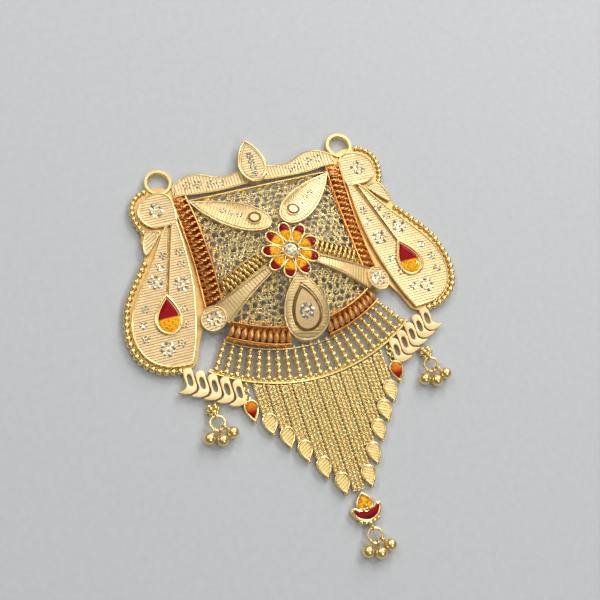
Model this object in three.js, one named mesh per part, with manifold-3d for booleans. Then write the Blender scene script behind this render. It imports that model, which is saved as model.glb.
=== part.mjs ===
// A gold mangalsutra pendant: two flat pear-shaped wings and a crest around a domed net
// panel, with a bead lattice, leaf slats, a chain fringe and small drops below it.
// Millimetres, +Z up. It lies on its back: +Y runs up the pendant, +X to its right side.
import * as THREE from 'three';
import { mergeVertices } from 'three/addons/utils/BufferGeometryUtils.js';
import Module from 'manifold-3d';

const wasm = await Module();
wasm.setup();

// ---------- driving dimensions ----------
const seat = 0.12;                 // clearance between pieces that are seated in each other

const plate = { top: 0.9, padLow: 0.5, pad: 1.3 };          // wing sheet and its raised pads
const bead = { radius: 0.6, meet: 48, onDisc: 7, onPear: 22 };   // granules on the wing's edge
const disc = { x: 17.6, y: 13.3, radius: 3.0 };             // round boss at the wing's top
const bail = { x: 15.8, y: 18.0, outer: 2.27, inner: 1.65, low: 0.1, high: 1.1 };
const tear = { tip: [19.9, -1.1], tail: [20.6, -7.1], width: 4.1, collet: 0.3, pocket: 0.4 };
const crestLevel = { strip: [0.3, 1.2], leaf: [0.2, 1.7], face: [1.0, 1.95] };

const dome = { height: 4.6, halfWidth: 14.2, peak: -3, above: 17.2, below: 11.2 };
const net = { low: 0.5, high: 1.0, spacing: 2.0, hole: 0.72, margin: 0.28, rows: 9, columns: 8, shift: 0.4 };
const relief = { low: 0.9, high: 1.5, groove: 0.25 };       // straps, leaves and medallion
const band = { inner: 12.05, outer: 14.2, wall: 0.25, high: 1.7, bow: 0.45, top: 14.0, low: -5.2 };
const channel = { low: -4.3, top: 13.2, fieldLow: -3.4 };   // the side walls, and the net between them
const fan = { y: 9.6, coilInner: 21.1, coilOuter: 23.2, halfAngle: 34.5, coilFrom: 8, coilTo: 33 };

const lattice = {
  columns: 21, beads: 4, step: 3.35, inner: 23.75, outer: 28.8, bead: 0.56, neck: 0.24, z: 0.75,
  halfAngle: 34, wire: [0.45, 1.0],
};
const rail = { inner: 28.7, outer: 29.35, high: 1.2, halfAngle: 35.5 };
const slat = { first: [20.2, -14.8], step: [-1.7, -0.95], count: 5, low: 0.25, high: 1.0, ledge: 0.3 };

const strand = {
  pitch: 2.0, width: 2.05, thick: 1.0, bevel: 0.35, each: 5, ends: [-38.0, -34.8, -31.7, -28.5, -25.8, -23.1],
};
const leaf = { length: 2.9, width: 1.95, out: 0.14, low: 0.15, high: 0.85, ball: 0.3 };

const flower = { petals: 9, reach: 4.74, inner: 1.25, width: 2.2, wall: 0.22, z: 6.05, high: 0.7 };
const stone = { radius: 1.05, crown: 0.42, table: 0.62 };

const ball = { radius: 0.95, reach: 2.72, fan: 43, loop: 0.5, wire: 0.12, out: 0.12 };
const ring = { radius: 1.15, wire: 0.18 };
const lotus = {
  top: -38.3, waist: -40.7, low: -43.0, halfWidth: 2.45, thick: 1.1,
  wall: 0.3, pocket: 0.6, enamel: [0.7, 1.15],
};
const drops = { centreY: -45.1, sideX: 18.0, sideY: -22.3, clusterY: -20.1 };
const extent = { top: 22.0, low: drops.centreY - ball.reach - ball.radius };

// ---------- finishes ----------
const finish = (color, roughness, metalness) => (
  new THREE.MeshStandardMaterial({ color, roughness, metalness }));
const gold = finish(0xe3bd6d, 0.35, 1);
const goldPale = finish(0xe8cf92, 0.45, 1);
const copper = finish(0xb4622a, 0.4, 0.9);
const enamelRed = finish(0x9c0d16, 0.15, 0);
const enamelYellow = finish(0xf0a312, 0.2, 0);
const crystal = finish(0xf2f2e6, 0.05, 0);

// ---------- solids ----------
function toSolid(geometry) {
  const bare = geometry.clone();
  for (const name of Object.keys(bare.attributes)) {
    if (name !== 'position') bare.deleteAttribute(name);
  }
  const merged = mergeVertices(bare, 1e-4);
  return new wasm.Manifold(new wasm.Mesh({
    numProp: 3,
    vertProperties: Float32Array.from(merged.attributes.position.array),
    triVerts: Uint32Array.from(merged.index.array),
  }));
}

function toGeometry(solid) {
  const mesh = solid.getMesh();
  const geometry = new THREE.BufferGeometry();
  geometry.setAttribute('position', new THREE.BufferAttribute(new Float32Array(mesh.vertProperties), 3));
  geometry.setIndex(Array.from(mesh.triVerts));
  return geometry;
}

function join(...geometries) {
  return toGeometry(geometries.map(toSolid).reduce((sum, next) => sum.add(next)));
}

function cut(geometry, ...tools) {
  return toGeometry(tools.map(toSolid).reduce((rest, next) => rest.subtract(next), toSolid(geometry)));
}

function mirrored(geometry) {
  const flipped = (geometry.index ? geometry : mergeVertices(geometry)).clone();
  flipped.applyMatrix4(new THREE.Matrix4().makeScale(-1, 1, 1));
  const index = Array.from(flipped.index.array);
  for (let i = 0; i < index.length; i += 3) [index[i], index[i + 1]] = [index[i + 1], index[i]];
  flipped.setIndex(index);
  return flipped;
}

// ---------- outlines ----------
const point = (x, y) => new THREE.Vector2(x, y);
const polar = (cx, cy, radius, degrees) => {
  const angle = THREE.MathUtils.degToRad(degrees);
  return point(cx + radius * Math.cos(angle), cy + radius * Math.sin(angle));
};

function prism(outline, low, high, holes = []) {
  const turned = THREE.ShapeUtils.isClockWise(outline) ? [...outline].reverse() : outline;
  const shape = new THREE.Shape(turned);
  shape.holes = holes.map((hole) => new THREE.Path(hole));
  const settings = { depth: high - low, bevelEnabled: false, curveSegments: 1 };
  return new THREE.ExtrudeGeometry(shape, settings).translate(0, 0, low);
}

function smooth(pairs, steps, closed = false) {
  const curve = new THREE.CatmullRomCurve3(pairs.map(([x, y]) => new THREE.Vector3(x, y, 0)), closed);
  const points = curve.getSpacedPoints(steps).map((p) => point(p.x, p.y));
  if (closed) points.pop();
  return points;
}

function circle(x, y, radius, sides) {
  return Array.from({ length: sides }, (_, i) => polar(x, y, radius, (360 * (i + 0.5)) / sides));
}

// A drop from its tip to its round tail; a higher sharpness narrows the tip.
function dropOutline(tip, tail, width, sides, sharpness = 1) {
  const a = point(...tip);
  const b = point(...tail);
  const axis = a.clone().sub(b).multiplyScalar(0.5);
  const middle = a.clone().add(b).multiplyScalar(0.5);
  const across = point(-axis.y, axis.x).normalize();
  const swell = (t) => Math.sin(t) * Math.sin(t / 2) ** sharpness;
  const widest = Math.max(...Array.from({ length: 90 }, (_, i) => swell((i * Math.PI) / 90)));
  return Array.from({ length: sides }, (_, i) => {
    const t = (2 * Math.PI * i) / sides;
    const offset = (swell(t) * width) / (2 * widest);
    return middle.clone().addScaledVector(axis, Math.cos(t)).addScaledVector(across, offset);
  });
}

// Round granules side by side along a line of points, as one scalloped edge.
function beadedEdge(line, count, radius) {
  const curve = new THREE.SplineCurve(line.map(([x, y]) => point(x, y)));
  const edge = [];
  for (let i = 0; i < count; i += 1) {
    const u = (i + 0.5) / count;
    const centre = curve.getPointAt(u);
    const tangent = curve.getTangentAt(u);
    const outward = Math.atan2(tangent.x, -tangent.y);
    for (const turn of [bead.meet, -bead.meet]) {
      const angle = outward + THREE.MathUtils.degToRad(turn);
      edge.push(point(centre.x + radius * Math.cos(angle), centre.y + radius * Math.sin(angle)));
    }
  }
  return edge;
}

function arcStrip(inner, outer, from, to, steps) {
  const run = (radius, a, b) => Array.from({ length: steps + 1 }, (_, i) => (
    polar(0, fan.y, radius, -90 + a + ((b - a) * i) / steps)));
  return [...run(outer, from, to), ...run(inner, to, from)];
}

// ---------- wings ----------
const pearLine = [
  [21.5, 5.2], [24.0, 2.2], [26.3, -1.3], [27.5, -6.0], [26.7, -9.9], [24.0, -12.4], [20.8, -13.0],
];
const discLine = [[19.0, 16.9], [21.1, 15.0], [21.6, 12.8], [20.6, 10.6]];

function wing() {
  const outline = [
    ...[[14.4, 15.6], [16.4, 17.0]].map(([x, y]) => point(x, y)),
    ...beadedEdge(discLine, bead.onDisc, bead.radius),
    point(20.9, 8.6),
    point(21.3, 6.6),
    ...beadedEdge(pearLine, bead.onPear, bead.radius),
    ...[[19.2, -13.3], [18.4, -12.4], [17.8, -9.6], [16.3, -5.6], [15.1, -1.5], [14.6, 2.0], [14.5, 6.0],
      [14.6, 11.0]].map(([x, y]) => point(x, y)),
  ];
  const pear = smooth([[14.9, 11.0], [18.0, 8.4], [20.4, 4.8], [24.5, -0.8], [26.4, -5.0], [25.7, -9.8],
    [22.8, -12.0], [19.1, -12.3], [17.9, -8.8], [16.6, -5.0], [15.2, 0.2], [14.9, 5.6]], 20, true);
  const leaflet = smooth([[18.5, 9.9], [19.9, 10.1], [20.7, 8.8], [20.9, 6.6], [19.5, 7.7]], 14, true);
  const groove = [point(16.3, 9.8), point(16.9, 9.9), point(20.1, -0.8), point(19.8, -0.9)];
  const collet = dropOutline([tear.tip[0] - 0.1, tear.tip[1] + 0.5], tear.tail, tear.width, 14);
  const pocket = dropOutline(tear.tip, [tear.tail[0], tear.tail[1] + 0.35], tear.width - 0.7, 14);
  const body = join(
    prism(outline, 0, plate.top),
    prism(pear, plate.padLow, plate.pad),
    prism(circle(disc.x, disc.y, disc.radius, 12), plate.padLow, plate.pad),
    prism(leaflet, plate.padLow, plate.pad),
    prism(collet, plate.padLow, plate.pad + tear.collet),
    prism(circle(bail.x, bail.y, bail.outer, 14), bail.low, bail.high),
  );
  return cut(
    body,
    prism(groove, plate.top, plate.pad + 1),
    prism(pocket, plate.pad - tear.pocket, plate.pad + 1),
    prism(circle(bail.x, bail.y, bail.inner, 10), -1, 3),
  );
}

function tearEnamel() {
  const tip = [tear.tip[0], tear.tip[1] - 0.3];
  const tail = [tear.tail[0], tear.tail[1] + 0.5];
  const cell = dropOutline(tip, tail, tear.width - 1.0, 14);
  return prism(cell, plate.pad - 0.3, plate.pad + 0.35);
}

// ---------- crest with its leaf ----------
function crest() {
  const upper = [[13.1, 16.9], [11.4, 17.9], [9.2, 17.9], [6.2, 16.8], [3.4, 16.8], [2.0, 17.4]];
  const lower = [[2.0, 14.8], [7.4, 14.6], [13.0, 15.1]];
  const across = (line) => line.map((p) => point(-p.x, p.y)).reverse();
  const upperLine = smooth(upper, 9);
  const lowerLine = smooth(lower, 4);
  const strip = [...upperLine, ...across(upperLine), ...across(lowerLine), ...lowerLine];
  const leafOutline = dropOutline([0, extent.top], [0, 14.4], 4.7, 22, 0.7);
  const leafFace = dropOutline([0, extent.top - 0.8], [0, 14.9], 3.8, 20, 0.7);
  return join(
    prism(strip, ...crestLevel.strip),
    prism(leafOutline, ...crestLevel.leaf),
    prism(leafFace, ...crestLevel.face),
  );
}

// ---------- the domed panel ----------
function lift(x, y) {
  const run = y > dome.peak ? dome.above : dome.below;
  const acrossDome = 1 - (x / dome.halfWidth) ** 2;
  const alongDome = 1 - ((y - dome.peak) / run) ** 2;
  return dome.height * Math.max(0, acrossDome) * Math.max(0, alongDome);
}

function raise(geometry) {
  const position = geometry.attributes.position;
  for (let i = 0; i < position.count; i += 1) {
    position.setZ(i, position.getZ(i) + lift(position.getX(i), position.getY(i)));
  }
  return geometry;
}

// Half-width of the panel beside the channel: the sides bow in a little.
const sideX = (base, y) => base - band.bow * (1 - ((y - 4.4) / 9.6) ** 2);

function sideLine(base, from, to, steps) {
  return Array.from({ length: steps + 1 }, (_, i) => {
    const y = from + ((to - from) * i) / steps;
    return point(sideX(base, y), y);
  });
}

const both = (outline) => [outline, outline.map((p) => point(-p.x, p.y)).reverse()];
const medallion = { tip: [0, -3.9], tail: [0, -13.7], width: 7.4, sharpness: 0.62 };
const groove = {                                            // the drop cut round the medallion's middle
  outer: { tip: [0, -5.6], tail: [0, -12.7], width: 4.5 },
  inner: { tip: [0, -6.3], tail: [0, -12.4], width: 3.8 },
  sharpness: 0.75,
};
const eyeLeaf = {
  tip: [12.0, 13.4], tail: [1.1, 5.6], width: 4.9, eye: [3.3, 7.4], outer: 0.95, inner: 0.6,
};
const corner = { x: 14.0, y: -6.6, radius: 2.0 };
const strap = [[3.2, -2.0], [4.2, -1.5], [8.2, -2.9], [13.4, -4.6], [12.3, -8.1], [7.8, -4.9]];

function coilBand(from, to, halfWidth, widen = 0) {
  const a = point(...from);
  const b = point(...to);
  const across = b.clone().sub(a).normalize().rotateAround(point(0, 0), Math.PI / 2);
  const at = (u, offset) => a.clone().lerp(b, u).addScaledVector(across, offset);
  const run = [0, 0.5, 1];
  return [
    ...run.map((u) => at(u, -halfWidth - widen * u)),
    ...run.reverse().map((u) => at(u, halfWidth + widen * u)),
  ];
}
const goldCoil = { from: [4.6, 0.2], to: [11.2, -2.4], halfWidth: 0.95 };

function reliefShapes() {
  const eyes = both(dropOutline(eyeLeaf.tip, eyeLeaf.tail, eyeLeaf.width, 16, 0.9));
  const straps = both(strap.map(([x, y]) => point(x, y)));
  const corners = both(circle(corner.x - 0.5, corner.y, corner.radius, 10));
  const drop = dropOutline(medallion.tip, medallion.tail, medallion.width, 20, medallion.sharpness);
  return { eyes, straps, corners, drop };
}

function inside(p, outline) {
  let odd = false;
  for (let i = 0, j = outline.length - 1; i < outline.length; j = i, i += 1) {
    const a = outline[i];
    const b = outline[j];
    if ((a.y > p.y) !== (b.y > p.y) && p.x < ((b.x - a.x) * (p.y - a.y)) / (b.y - a.y) + a.x) odd = !odd;
  }
  return odd;
}

function distance(p, outline) {
  let nearest = Infinity;
  outline.forEach((a, i) => {
    const b = outline[(i + 1) % outline.length];
    const line = b.clone().sub(a);
    const u = THREE.MathUtils.clamp(p.clone().sub(a).dot(line) / line.lengthSq(), 0, 1);
    nearest = Math.min(nearest, p.distanceTo(a.clone().addScaledVector(line, u)));
  });
  return nearest;
}

function netHoles(field, keepOut) {
  const holes = [];
  const rowHeight = net.spacing * Math.sqrt(0.75);
  for (let row = -net.rows; row <= net.rows; row += 1) {
    for (let column = -net.columns; column <= net.columns; column += 1) {
      const p = point((column + (row % 2 ? 0.5 : 0)) * net.spacing, row * rowHeight + net.shift);
      const reach = net.hole + net.margin;
      const clear = inside(p, field) && distance(p, field) > reach
        && keepOut.every((outline) => !inside(p, outline) && distance(p, outline) > reach);
      if (clear) holes.push(circle(p.x, p.y, net.hole, 6));
    }
  }
  return holes;
}

function domePanel() {
  const across = (line) => line.map((p) => point(-p.x, p.y)).reverse();
  const arc = (radius) => arcStrip(1, radius, -fan.halfAngle, fan.halfAngle, 12).slice(0, 13);
  const edge = sideLine(band.outer, band.low, band.top, 8);
  const fieldEdge = sideLine(band.inner, channel.fieldLow, channel.top, 8);
  const sheet = [
    ...edge,
    ...[9, 4.5, 0, -4.5, -9].map((x) => point(x, band.top)),
    ...across(edge),
    ...arc(fan.coilOuter + band.wall),
  ];
  const field = [...fieldEdge, ...across(fieldEdge), ...arc(fan.coilInner - 0.1)];
  const shapes = reliefShapes();
  const coils = both(coilBand(goldCoil.from, goldCoil.to, goldCoil.halfWidth + band.wall + 0.1));
  const blossom = circle(0, 0, flower.reach - 1.2, 16);
  const raised = [...shapes.eyes, ...shapes.straps, ...shapes.corners, shapes.drop];
  const holes = netHoles(field, [...raised, ...coils, blossom]);
  const wallAt = (base) => both([
    ...sideLine(base, channel.low, channel.top, 8),
    ...sideLine(base - band.wall, channel.top, channel.low, 8),
  ]);
  const coilWall = (offset) => both(coilBand(goldCoil.from, goldCoil.to, band.wall / 2).map((p) => {
    const slope = (goldCoil.to[1] - goldCoil.from[1]) / (goldCoil.to[0] - goldCoil.from[0]);
    return point(p.x - (slope * offset) / Math.hypot(1, slope), p.y + offset / Math.hypot(1, slope));
  }));
  const wallOffset = goldCoil.halfWidth + band.wall / 2 + seat;
  const arcWalls = [fan.coilInner - band.wall, fan.coilOuter].flatMap((radius) => [
    arcStrip(radius, radius + band.wall, fan.coilFrom, fan.coilTo, 6),
    arcStrip(radius, radius + band.wall, -fan.coilTo, -fan.coilFrom, 6),
  ]);
  const walls = [
    ...wallAt(band.outer), ...wallAt(band.inner + band.wall), ...coilWall(wallOffset), ...arcWalls,
  ];
  const ledgeRun = [-12, -8, -4, 0, 4, 8, 12];
  const ledge = [...ledgeRun.map((x) => point(x, 13.5)), ...ledgeRun.reverse().map((x) => point(x, 13.95))];
  const flat = join(
    prism(sheet, net.low, net.high, holes),
    ...raised.map((outline) => prism(outline, relief.low, relief.high)),
    ...walls.map((outline) => prism(outline, relief.low, band.high)),
    prism(ledge, relief.low, relief.high),
    prism(circle(0, 0, 1.6, 10), relief.low, relief.high - 0.1),
  );
  const engrave = (outer, inner) => prism(outer, relief.high - relief.groove, relief.high + 1, [inner]);
  const eyes = [eyeLeaf.eye, [-eyeLeaf.eye[0], eyeLeaf.eye[1]]].map(([x, y]) => (
    engrave(circle(x, y, eyeLeaf.outer, 10), circle(x, y, eyeLeaf.inner, 8))));
  const round = ({ tip, tail, width }, sides) => dropOutline(tip, tail, width, sides, groove.sharpness);
  return raise(cut(flat, ...eyes, engrave(round(groove.outer, 16), round(groove.inner, 14))));
}

// ---------- ribbed coils in their channels ----------
// A straight bar with a zigzag top, bent onto its route and raised onto the dome.
const coil = { base: net.high + 0.2, valley: 0.3, crown: 0.72, play: 0.2 };
const ribs = { side: 15, lower: 9, upper: 8 };
const sideRun = { low: -3.6, top: 12.9 };
const lowerRun = { start: -76.8, step: 2.2, points: 9 };     // degrees round the fan's centre

function ribbedBar(route, width, count) {
  const bar = new THREE.BoxGeometry(1, width, 1, 2 * count, 1, 1);
  const position = bar.attributes.position;
  for (let i = 0; i < position.count; i += 1) {
    const u = THREE.MathUtils.clamp(position.getX(i) + 0.5, 0, 1);
    const offset = position.getY(i);
    const crown = Math.round(u * 2 * count) % 2 ? coil.crown : coil.valley;
    const height = coil.base + (position.getZ(i) > 0 ? crown : 0);
    const at = route.getPointAt(u);
    const tangent = route.getTangentAt(u);
    position.setXYZ(i, at.x - tangent.y * offset, at.y + tangent.x * offset, height);
  }
  return raise(bar);
}

function sideCoil() {
  const middle = (band.outer - band.wall + band.inner + band.wall) / 2;
  const route = new THREE.SplineCurve(sideLine(middle, sideRun.low, sideRun.top, 8));
  return ribbedBar(route, band.outer - band.inner - 2 * band.wall - 2 * seat - coil.play, ribs.side);
}

function lowerCoil() {
  const middle = (fan.coilInner + fan.coilOuter) / 2;
  const route = new THREE.SplineCurve(Array.from({ length: lowerRun.points }, (_, i) => (
    polar(0, fan.y, middle, lowerRun.start + lowerRun.step * i))));
  return ribbedBar(route, fan.coilOuter - fan.coilInner - 2 * seat - coil.play, ribs.lower);
}

function upperCoil() {
  const route = new THREE.SplineCurve([0, 0.5, 1].map((u) => (
    point(...goldCoil.from).lerp(point(...goldCoil.to), u))));
  return ribbedBar(route, 2 * goldCoil.halfWidth - coil.play, ribs.upper);
}

// ---------- flower ----------
const petalAngles = Array.from({ length: flower.petals }, (_, i) => 90 - (360 / flower.petals) * i);

function petalOutline(degrees, shrink, sides) {
  const tip = polar(0, 0, flower.reach - shrink, degrees);
  const tail = polar(0, 0, flower.inner + shrink, degrees);
  return dropOutline([tail.x, tail.y], [tip.x, tip.y], flower.width - 2 * shrink, sides, 0.45);
}

function flowerSetting() {
  const petals = petalAngles.map((degrees) => (
    prism(petalOutline(degrees, 0, 9), flower.z, flower.z + flower.high)));
  const pockets = petalAngles.map((degrees) => (
    prism(petalOutline(degrees, flower.wall, 8), flower.z + 0.3, flower.z + 2)));
  const bezel = stone.radius + seat;
  const profile = [[0, -0.05], [1.75, -0.05], [1.55, 0.5], [1.3, 0.8], [bezel, 0.8], [bezel, 0.45], [0, 0.1]];
  const turned = profile.map(([radius, height]) => point(radius, flower.z + height));
  const hub = new THREE.LatheGeometry(turned, 12).rotateX(Math.PI / 2);
  return join(cut(petals.reduce((sum, next) => join(sum, next)), ...pockets), hub);
}

function petalEnamel(degrees) {
  return prism(petalOutline(degrees, flower.wall + seat, 8), flower.z + 0.38, flower.z + flower.high - 0.05);
}

function centreStone() {
  const girdle = flower.z + 0.72;
  const profile = [
    [0, -0.42], [stone.radius - 0.25, -0.22], [stone.radius, 0], [stone.radius, 0.08],
    [stone.table, stone.crown], [0, stone.crown],
  ];
  const gem = new THREE.LatheGeometry(profile.map(([radius, height]) => point(radius, girdle + height)), 8);
  return gem.rotateX(Math.PI / 2);
}

// ---------- lattice, rail and slats ----------
function beadColumn(degrees) {
  const length = lattice.outer - lattice.inner;
  const pitch = length / lattice.beads;
  const profile = [point(0, 0), point(lattice.neck, 0)];
  for (let i = 0; i < lattice.beads; i += 1) {
    const radius = lattice.bead * (i ? 1 : 0.8);
    profile.push(point(radius, (i + 0.5) * pitch), point(lattice.neck, (i + 1) * pitch));
  }
  profile.push(point(0, length));
  const column = new THREE.LatheGeometry(profile, 6);
  column.translate(0, lattice.inner, 0).rotateZ(THREE.MathUtils.degToRad(180 + degrees));
  return column.translate(0, fan.y, lattice.z);
}

function beadLattice() {
  const half = (lattice.columns - 1) / 2;
  const columns = Array.from({ length: lattice.columns }, (_, i) => beadColumn((i - half) * lattice.step));
  const wire = arcStrip(lattice.inner - 0.1, lattice.inner + 0.25, -lattice.halfAngle, lattice.halfAngle, 12);
  return join(
    prism(wire, ...lattice.wire),
    prism(arcStrip(rail.inner, rail.outer, -rail.halfAngle, rail.halfAngle, 12), 0, rail.high),
    ...columns,
  );
}

function slats() {
  const blade = [
    [-0.85, 1.8], [0.1, 2.15], [0.75, 1.6], [0.75, -0.7], [2.2, -1.35], [0.6, -2.1], [-0.7, -1.6],
  ];
  const slot = [[-0.35, 0.7], [0.1, 0.95], [0.35, -0.7], [-0.1, -0.95]];
  const at = (pairs, i) => pairs.map(([x, y]) => (
    point(slat.first[0] + i * slat.step[0] + x, slat.first[1] + i * slat.step[1] + y)));
  const parts = Array.from({ length: slat.count }, (_, i) => (
    prism(at(blade, i), slat.low, slat.high - 0.04 * i, [at(slot, i)])));
  const clearRail = prism(arcStrip(20, rail.outer + seat, 20, 50, 6), -1, 3);
  const wingFoot = [[15, -11], [18.4, -12.9], [19.1, -13.85], [25, -14.1], [25, -8]];
  const clearWing = prism(wingFoot.map(([x, y]) => point(x, y)), -1, 3);
  const ledge = prism([
    ...at([[0.6, 0.1], [0.5, -1.1]], 0),
    ...at([[-0.6, -1.1], [-0.6, 0.1]], slat.count - 1),
  ], slat.low, slat.low + slat.ledge);
  return cut(join(...parts, ledge), clearRail, clearWing);
}

function granule(radius, x, y, z) {
  return new THREE.SphereGeometry(radius, 7, 4).rotateX(Math.PI / 2).translate(x, y, z);
}

// ---------- chain fringe with its leaves ----------
function strandTop(x) {
  return fan.y - Math.sqrt((rail.outer + seat) ** 2 - x * x);
}

function chainFringe() {
  const w = strand.width / 2;
  const flat = w - strand.bevel;
  const half = strand.thick / 2;
  const section = [[-w, half], [-flat, 0], [flat, 0], [w, half], [flat, strand.thick], [-flat, strand.thick]];
  const bars = [];
  for (let k = -strand.each; k <= strand.each; k += 1) {
    const x = k * strand.pitch;
    const top = strandTop(Math.abs(x) - w) - 0.05 * Math.abs(k);
    const low = strand.ends[Math.abs(k)];
    const shape = new THREE.Shape(section.map(([a, b]) => point(a, b)));
    const bar = new THREE.ExtrudeGeometry(shape, { depth: top - low, bevelEnabled: false });
    bars.push(bar.rotateX(Math.PI / 2).translate(x, top, 0));
  }
  return cut(join(...bars), prism(arcStrip(20, rail.outer + seat, -28, 28, 14), -1, 3));
}

function endLeaf(k) {
  const x = k * strand.pitch + leaf.out;
  const top = strand.ends[k] - seat;
  const blade = dropOutline([x, top - leaf.length], [x, top], leaf.width, 9, 0.8);
  const tipBall = granule(leaf.ball, x, top - leaf.length - 0.1, leaf.ball + 0.1);
  return join(prism(blade, leaf.low, leaf.high), tipBall);
}

// ---------- small enamel drops beside the fringe ----------
const smallDrop = { x: 12.25, top: -20.15, tip: -23.6, width: 2.2, linkTop: -17.45 };

function smallDropSetting() {
  const outer = dropOutline([smallDrop.x, smallDrop.tip], [smallDrop.x, smallDrop.top], smallDrop.width, 14);
  const pocket = dropOutline([smallDrop.x, smallDrop.tip + 0.7], [smallDrop.x, smallDrop.top - 0.22],
    smallDrop.width - 0.5, 12);
  const linkLow = smallDrop.top - 0.3;
  const link = [[11.95, linkLow], [12.4, linkLow], [12.4, smallDrop.linkTop], [11.95, smallDrop.linkTop]]
    .map(([x, y]) => point(x, y));
  return join(
    cut(prism(outer, 0.15, 1.0), prism(pocket, 0.5, 2)),
    prism(link, 0.25, 0.85),
    granule(0.26, smallDrop.x, smallDrop.tip, 0.5),
  );
}

function smallDropEnamel() {
  const cell = dropOutline([smallDrop.x, smallDrop.tip + 0.95], [smallDrop.x, smallDrop.top - 0.34],
    smallDrop.width - 0.74, 12);
  return prism(cell, 0.58, 1.02);
}

// ---------- lotus at the fringe's point ----------
const lotusArch = (inset) => dropOutline([0, lotus.top - inset * 1.6], [0, lotus.waist - 0.7 + inset],
  2.7 - 2 * inset, 14, 0.8);
const lotusBoat = (inset) => smooth([[-lotus.halfWidth + inset * 1.4, lotus.waist + 0.35 - inset * 1.5],
  [-1.2, lotus.waist - 0.35 - inset], [0, lotus.waist - 0.55 - inset], [1.2, lotus.waist - 0.35 - inset],
  [lotus.halfWidth - inset * 1.4, lotus.waist + 0.35 - inset * 1.5], [1.5, lotus.low + 0.75 + inset],
  [0, lotus.low + inset], [-1.5, lotus.low + 0.75 + inset]], 16, true);

function hoop(radius, wire, steps) {
  return new THREE.TorusGeometry(radius, wire, 5, steps);
}

function lotusSetting() {
  const pockets = [lotusArch, lotusBoat].map((outline) => prism(outline(lotus.wall), lotus.pocket, 3));
  const solids = [lotusArch, lotusBoat].map((outline) => prism(outline(0), 0, lotus.thick));
  const body = cut(join(...solids), ...pockets);
  const granules = [-1.4, -0.7, 0, 0.7, 1.4].map((x) => (
    granule(0.38, x, lotus.low - 0.12 + 0.3 * Math.abs(x), 0.75)));
  const loop = hoop(ball.loop - 0.02, ball.wire, 8).rotateY(Math.PI / 2);
  loop.translate(0, drops.centreY + ring.radius + ball.out, ball.radius);
  return join(body, ...granules, loop);
}

// ---------- ball drops on their jump rings ----------
function ballDrop(x, y, degrees) {
  const sphere = new THREE.SphereGeometry(ball.radius, 8, 6).translate(ball.reach, 0, 0);
  const loop = hoop(ball.loop, ball.wire, 8).rotateX(Math.PI / 2).translate(ring.radius + ball.out, 0, 0);
  const drop = join(sphere, loop);
  return drop.rotateZ(THREE.MathUtils.degToRad(degrees)).translate(x, y, ball.radius);
}

function jumpRing(x, y) {
  return hoop(ring.radius, ring.wire, 10).translate(x, y, ball.radius);
}

function cluster() {
  const grains = [90, 210, 330].map((degrees) => {
    const seatPoint = polar(drops.sideX, drops.clusterY, 0.62, degrees);
    return granule(0.48, seatPoint.x, seatPoint.y, 0.62);
  });
  const loop = hoop(ball.loop - 0.02, ball.wire, 8).rotateY(Math.PI / 2);
  loop.translate(drops.sideX, drops.sideY + ring.radius + ball.out, ball.radius);
  return join(...grains, granule(0.55, drops.sideX, drops.clusterY, 1.0), loop);
}

// ---------- assembly ----------
const pendant = new THREE.Group();
const assembly = new THREE.Group();
assembly.position.y = -(extent.top + extent.low) / 2;
pendant.add(assembly);

function place(name, geometry, material) {
  const mesh = new THREE.Mesh(geometry, material);
  mesh.name = name;
  assembly.add(mesh);
}

function placePair(name, geometry, material) {
  place(`right_${name}`, geometry, material);
  place(`left_${name}`, mirrored(geometry), material);
}

placePair('wing', wing(), goldPale);
placePair('teardrop_enamel', tearEnamel(), enamelRed);
place('crest', crest(), goldPale);
place('dome_panel', domePanel(), goldPale);
placePair('side_coil', sideCoil(), copper);
placePair('lower_coil', lowerCoil(), copper);
placePair('upper_coil', upperCoil(), gold);
place('flower_setting', flowerSetting(), gold);
petalAngles.forEach((degrees, i) => place(`petal_enamel_${i + 1}`, petalEnamel(degrees), enamelRed));
place('centre_stone', centreStone(), crystal);
place('bead_lattice', beadLattice(), gold);
placePair('slats', slats(), goldPale);
place('chain_fringe', chainFringe(), gold);
for (let k = 1; k <= strand.each; k += 1) placePair(`leaf_${k}`, endLeaf(k), gold);
placePair('drop_setting', smallDropSetting(), gold);
placePair('drop_enamel', smallDropEnamel(), enamelRed);
place('lotus_setting', lotusSetting(), gold);
place('lotus_enamel_yellow', prism(lotusArch(lotus.wall + seat), ...lotus.enamel), enamelYellow);
place('lotus_enamel_red', prism(lotusBoat(lotus.wall + 2 * seat), ...lotus.enamel), enamelRed);
placePair('cluster', cluster(), gold);
placePair('jump_ring', jumpRing(drops.sideX, drops.sideY), gold);
place('centre_jump_ring', jumpRing(0, drops.centreY), gold);
[-1, 0, 1].forEach((turn, i) => {
  const degrees = -90 + turn * ball.fan;
  placePair(`ball_${i + 1}`, ballDrop(drops.sideX, drops.sideY, degrees), gold);
  place(`centre_ball_${i + 1}`, ballDrop(0, drops.centreY, degrees), gold);
});

export default pendant;
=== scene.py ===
# %% [markdown]
# # A gold mangalsutra pendant
# The pendant lies flat on its back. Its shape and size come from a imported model, the frame, and this
# script dresses it: engraved sheet, granules, lace, twisted wire, enamel and chain. Everything below
# is drawn in millimetres round the centre stone, and each finished piece is scaled to metres once.

# %% Load the frame
import math
import random

import bmesh
import bpy
from mathutils import Matrix, Vector


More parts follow.
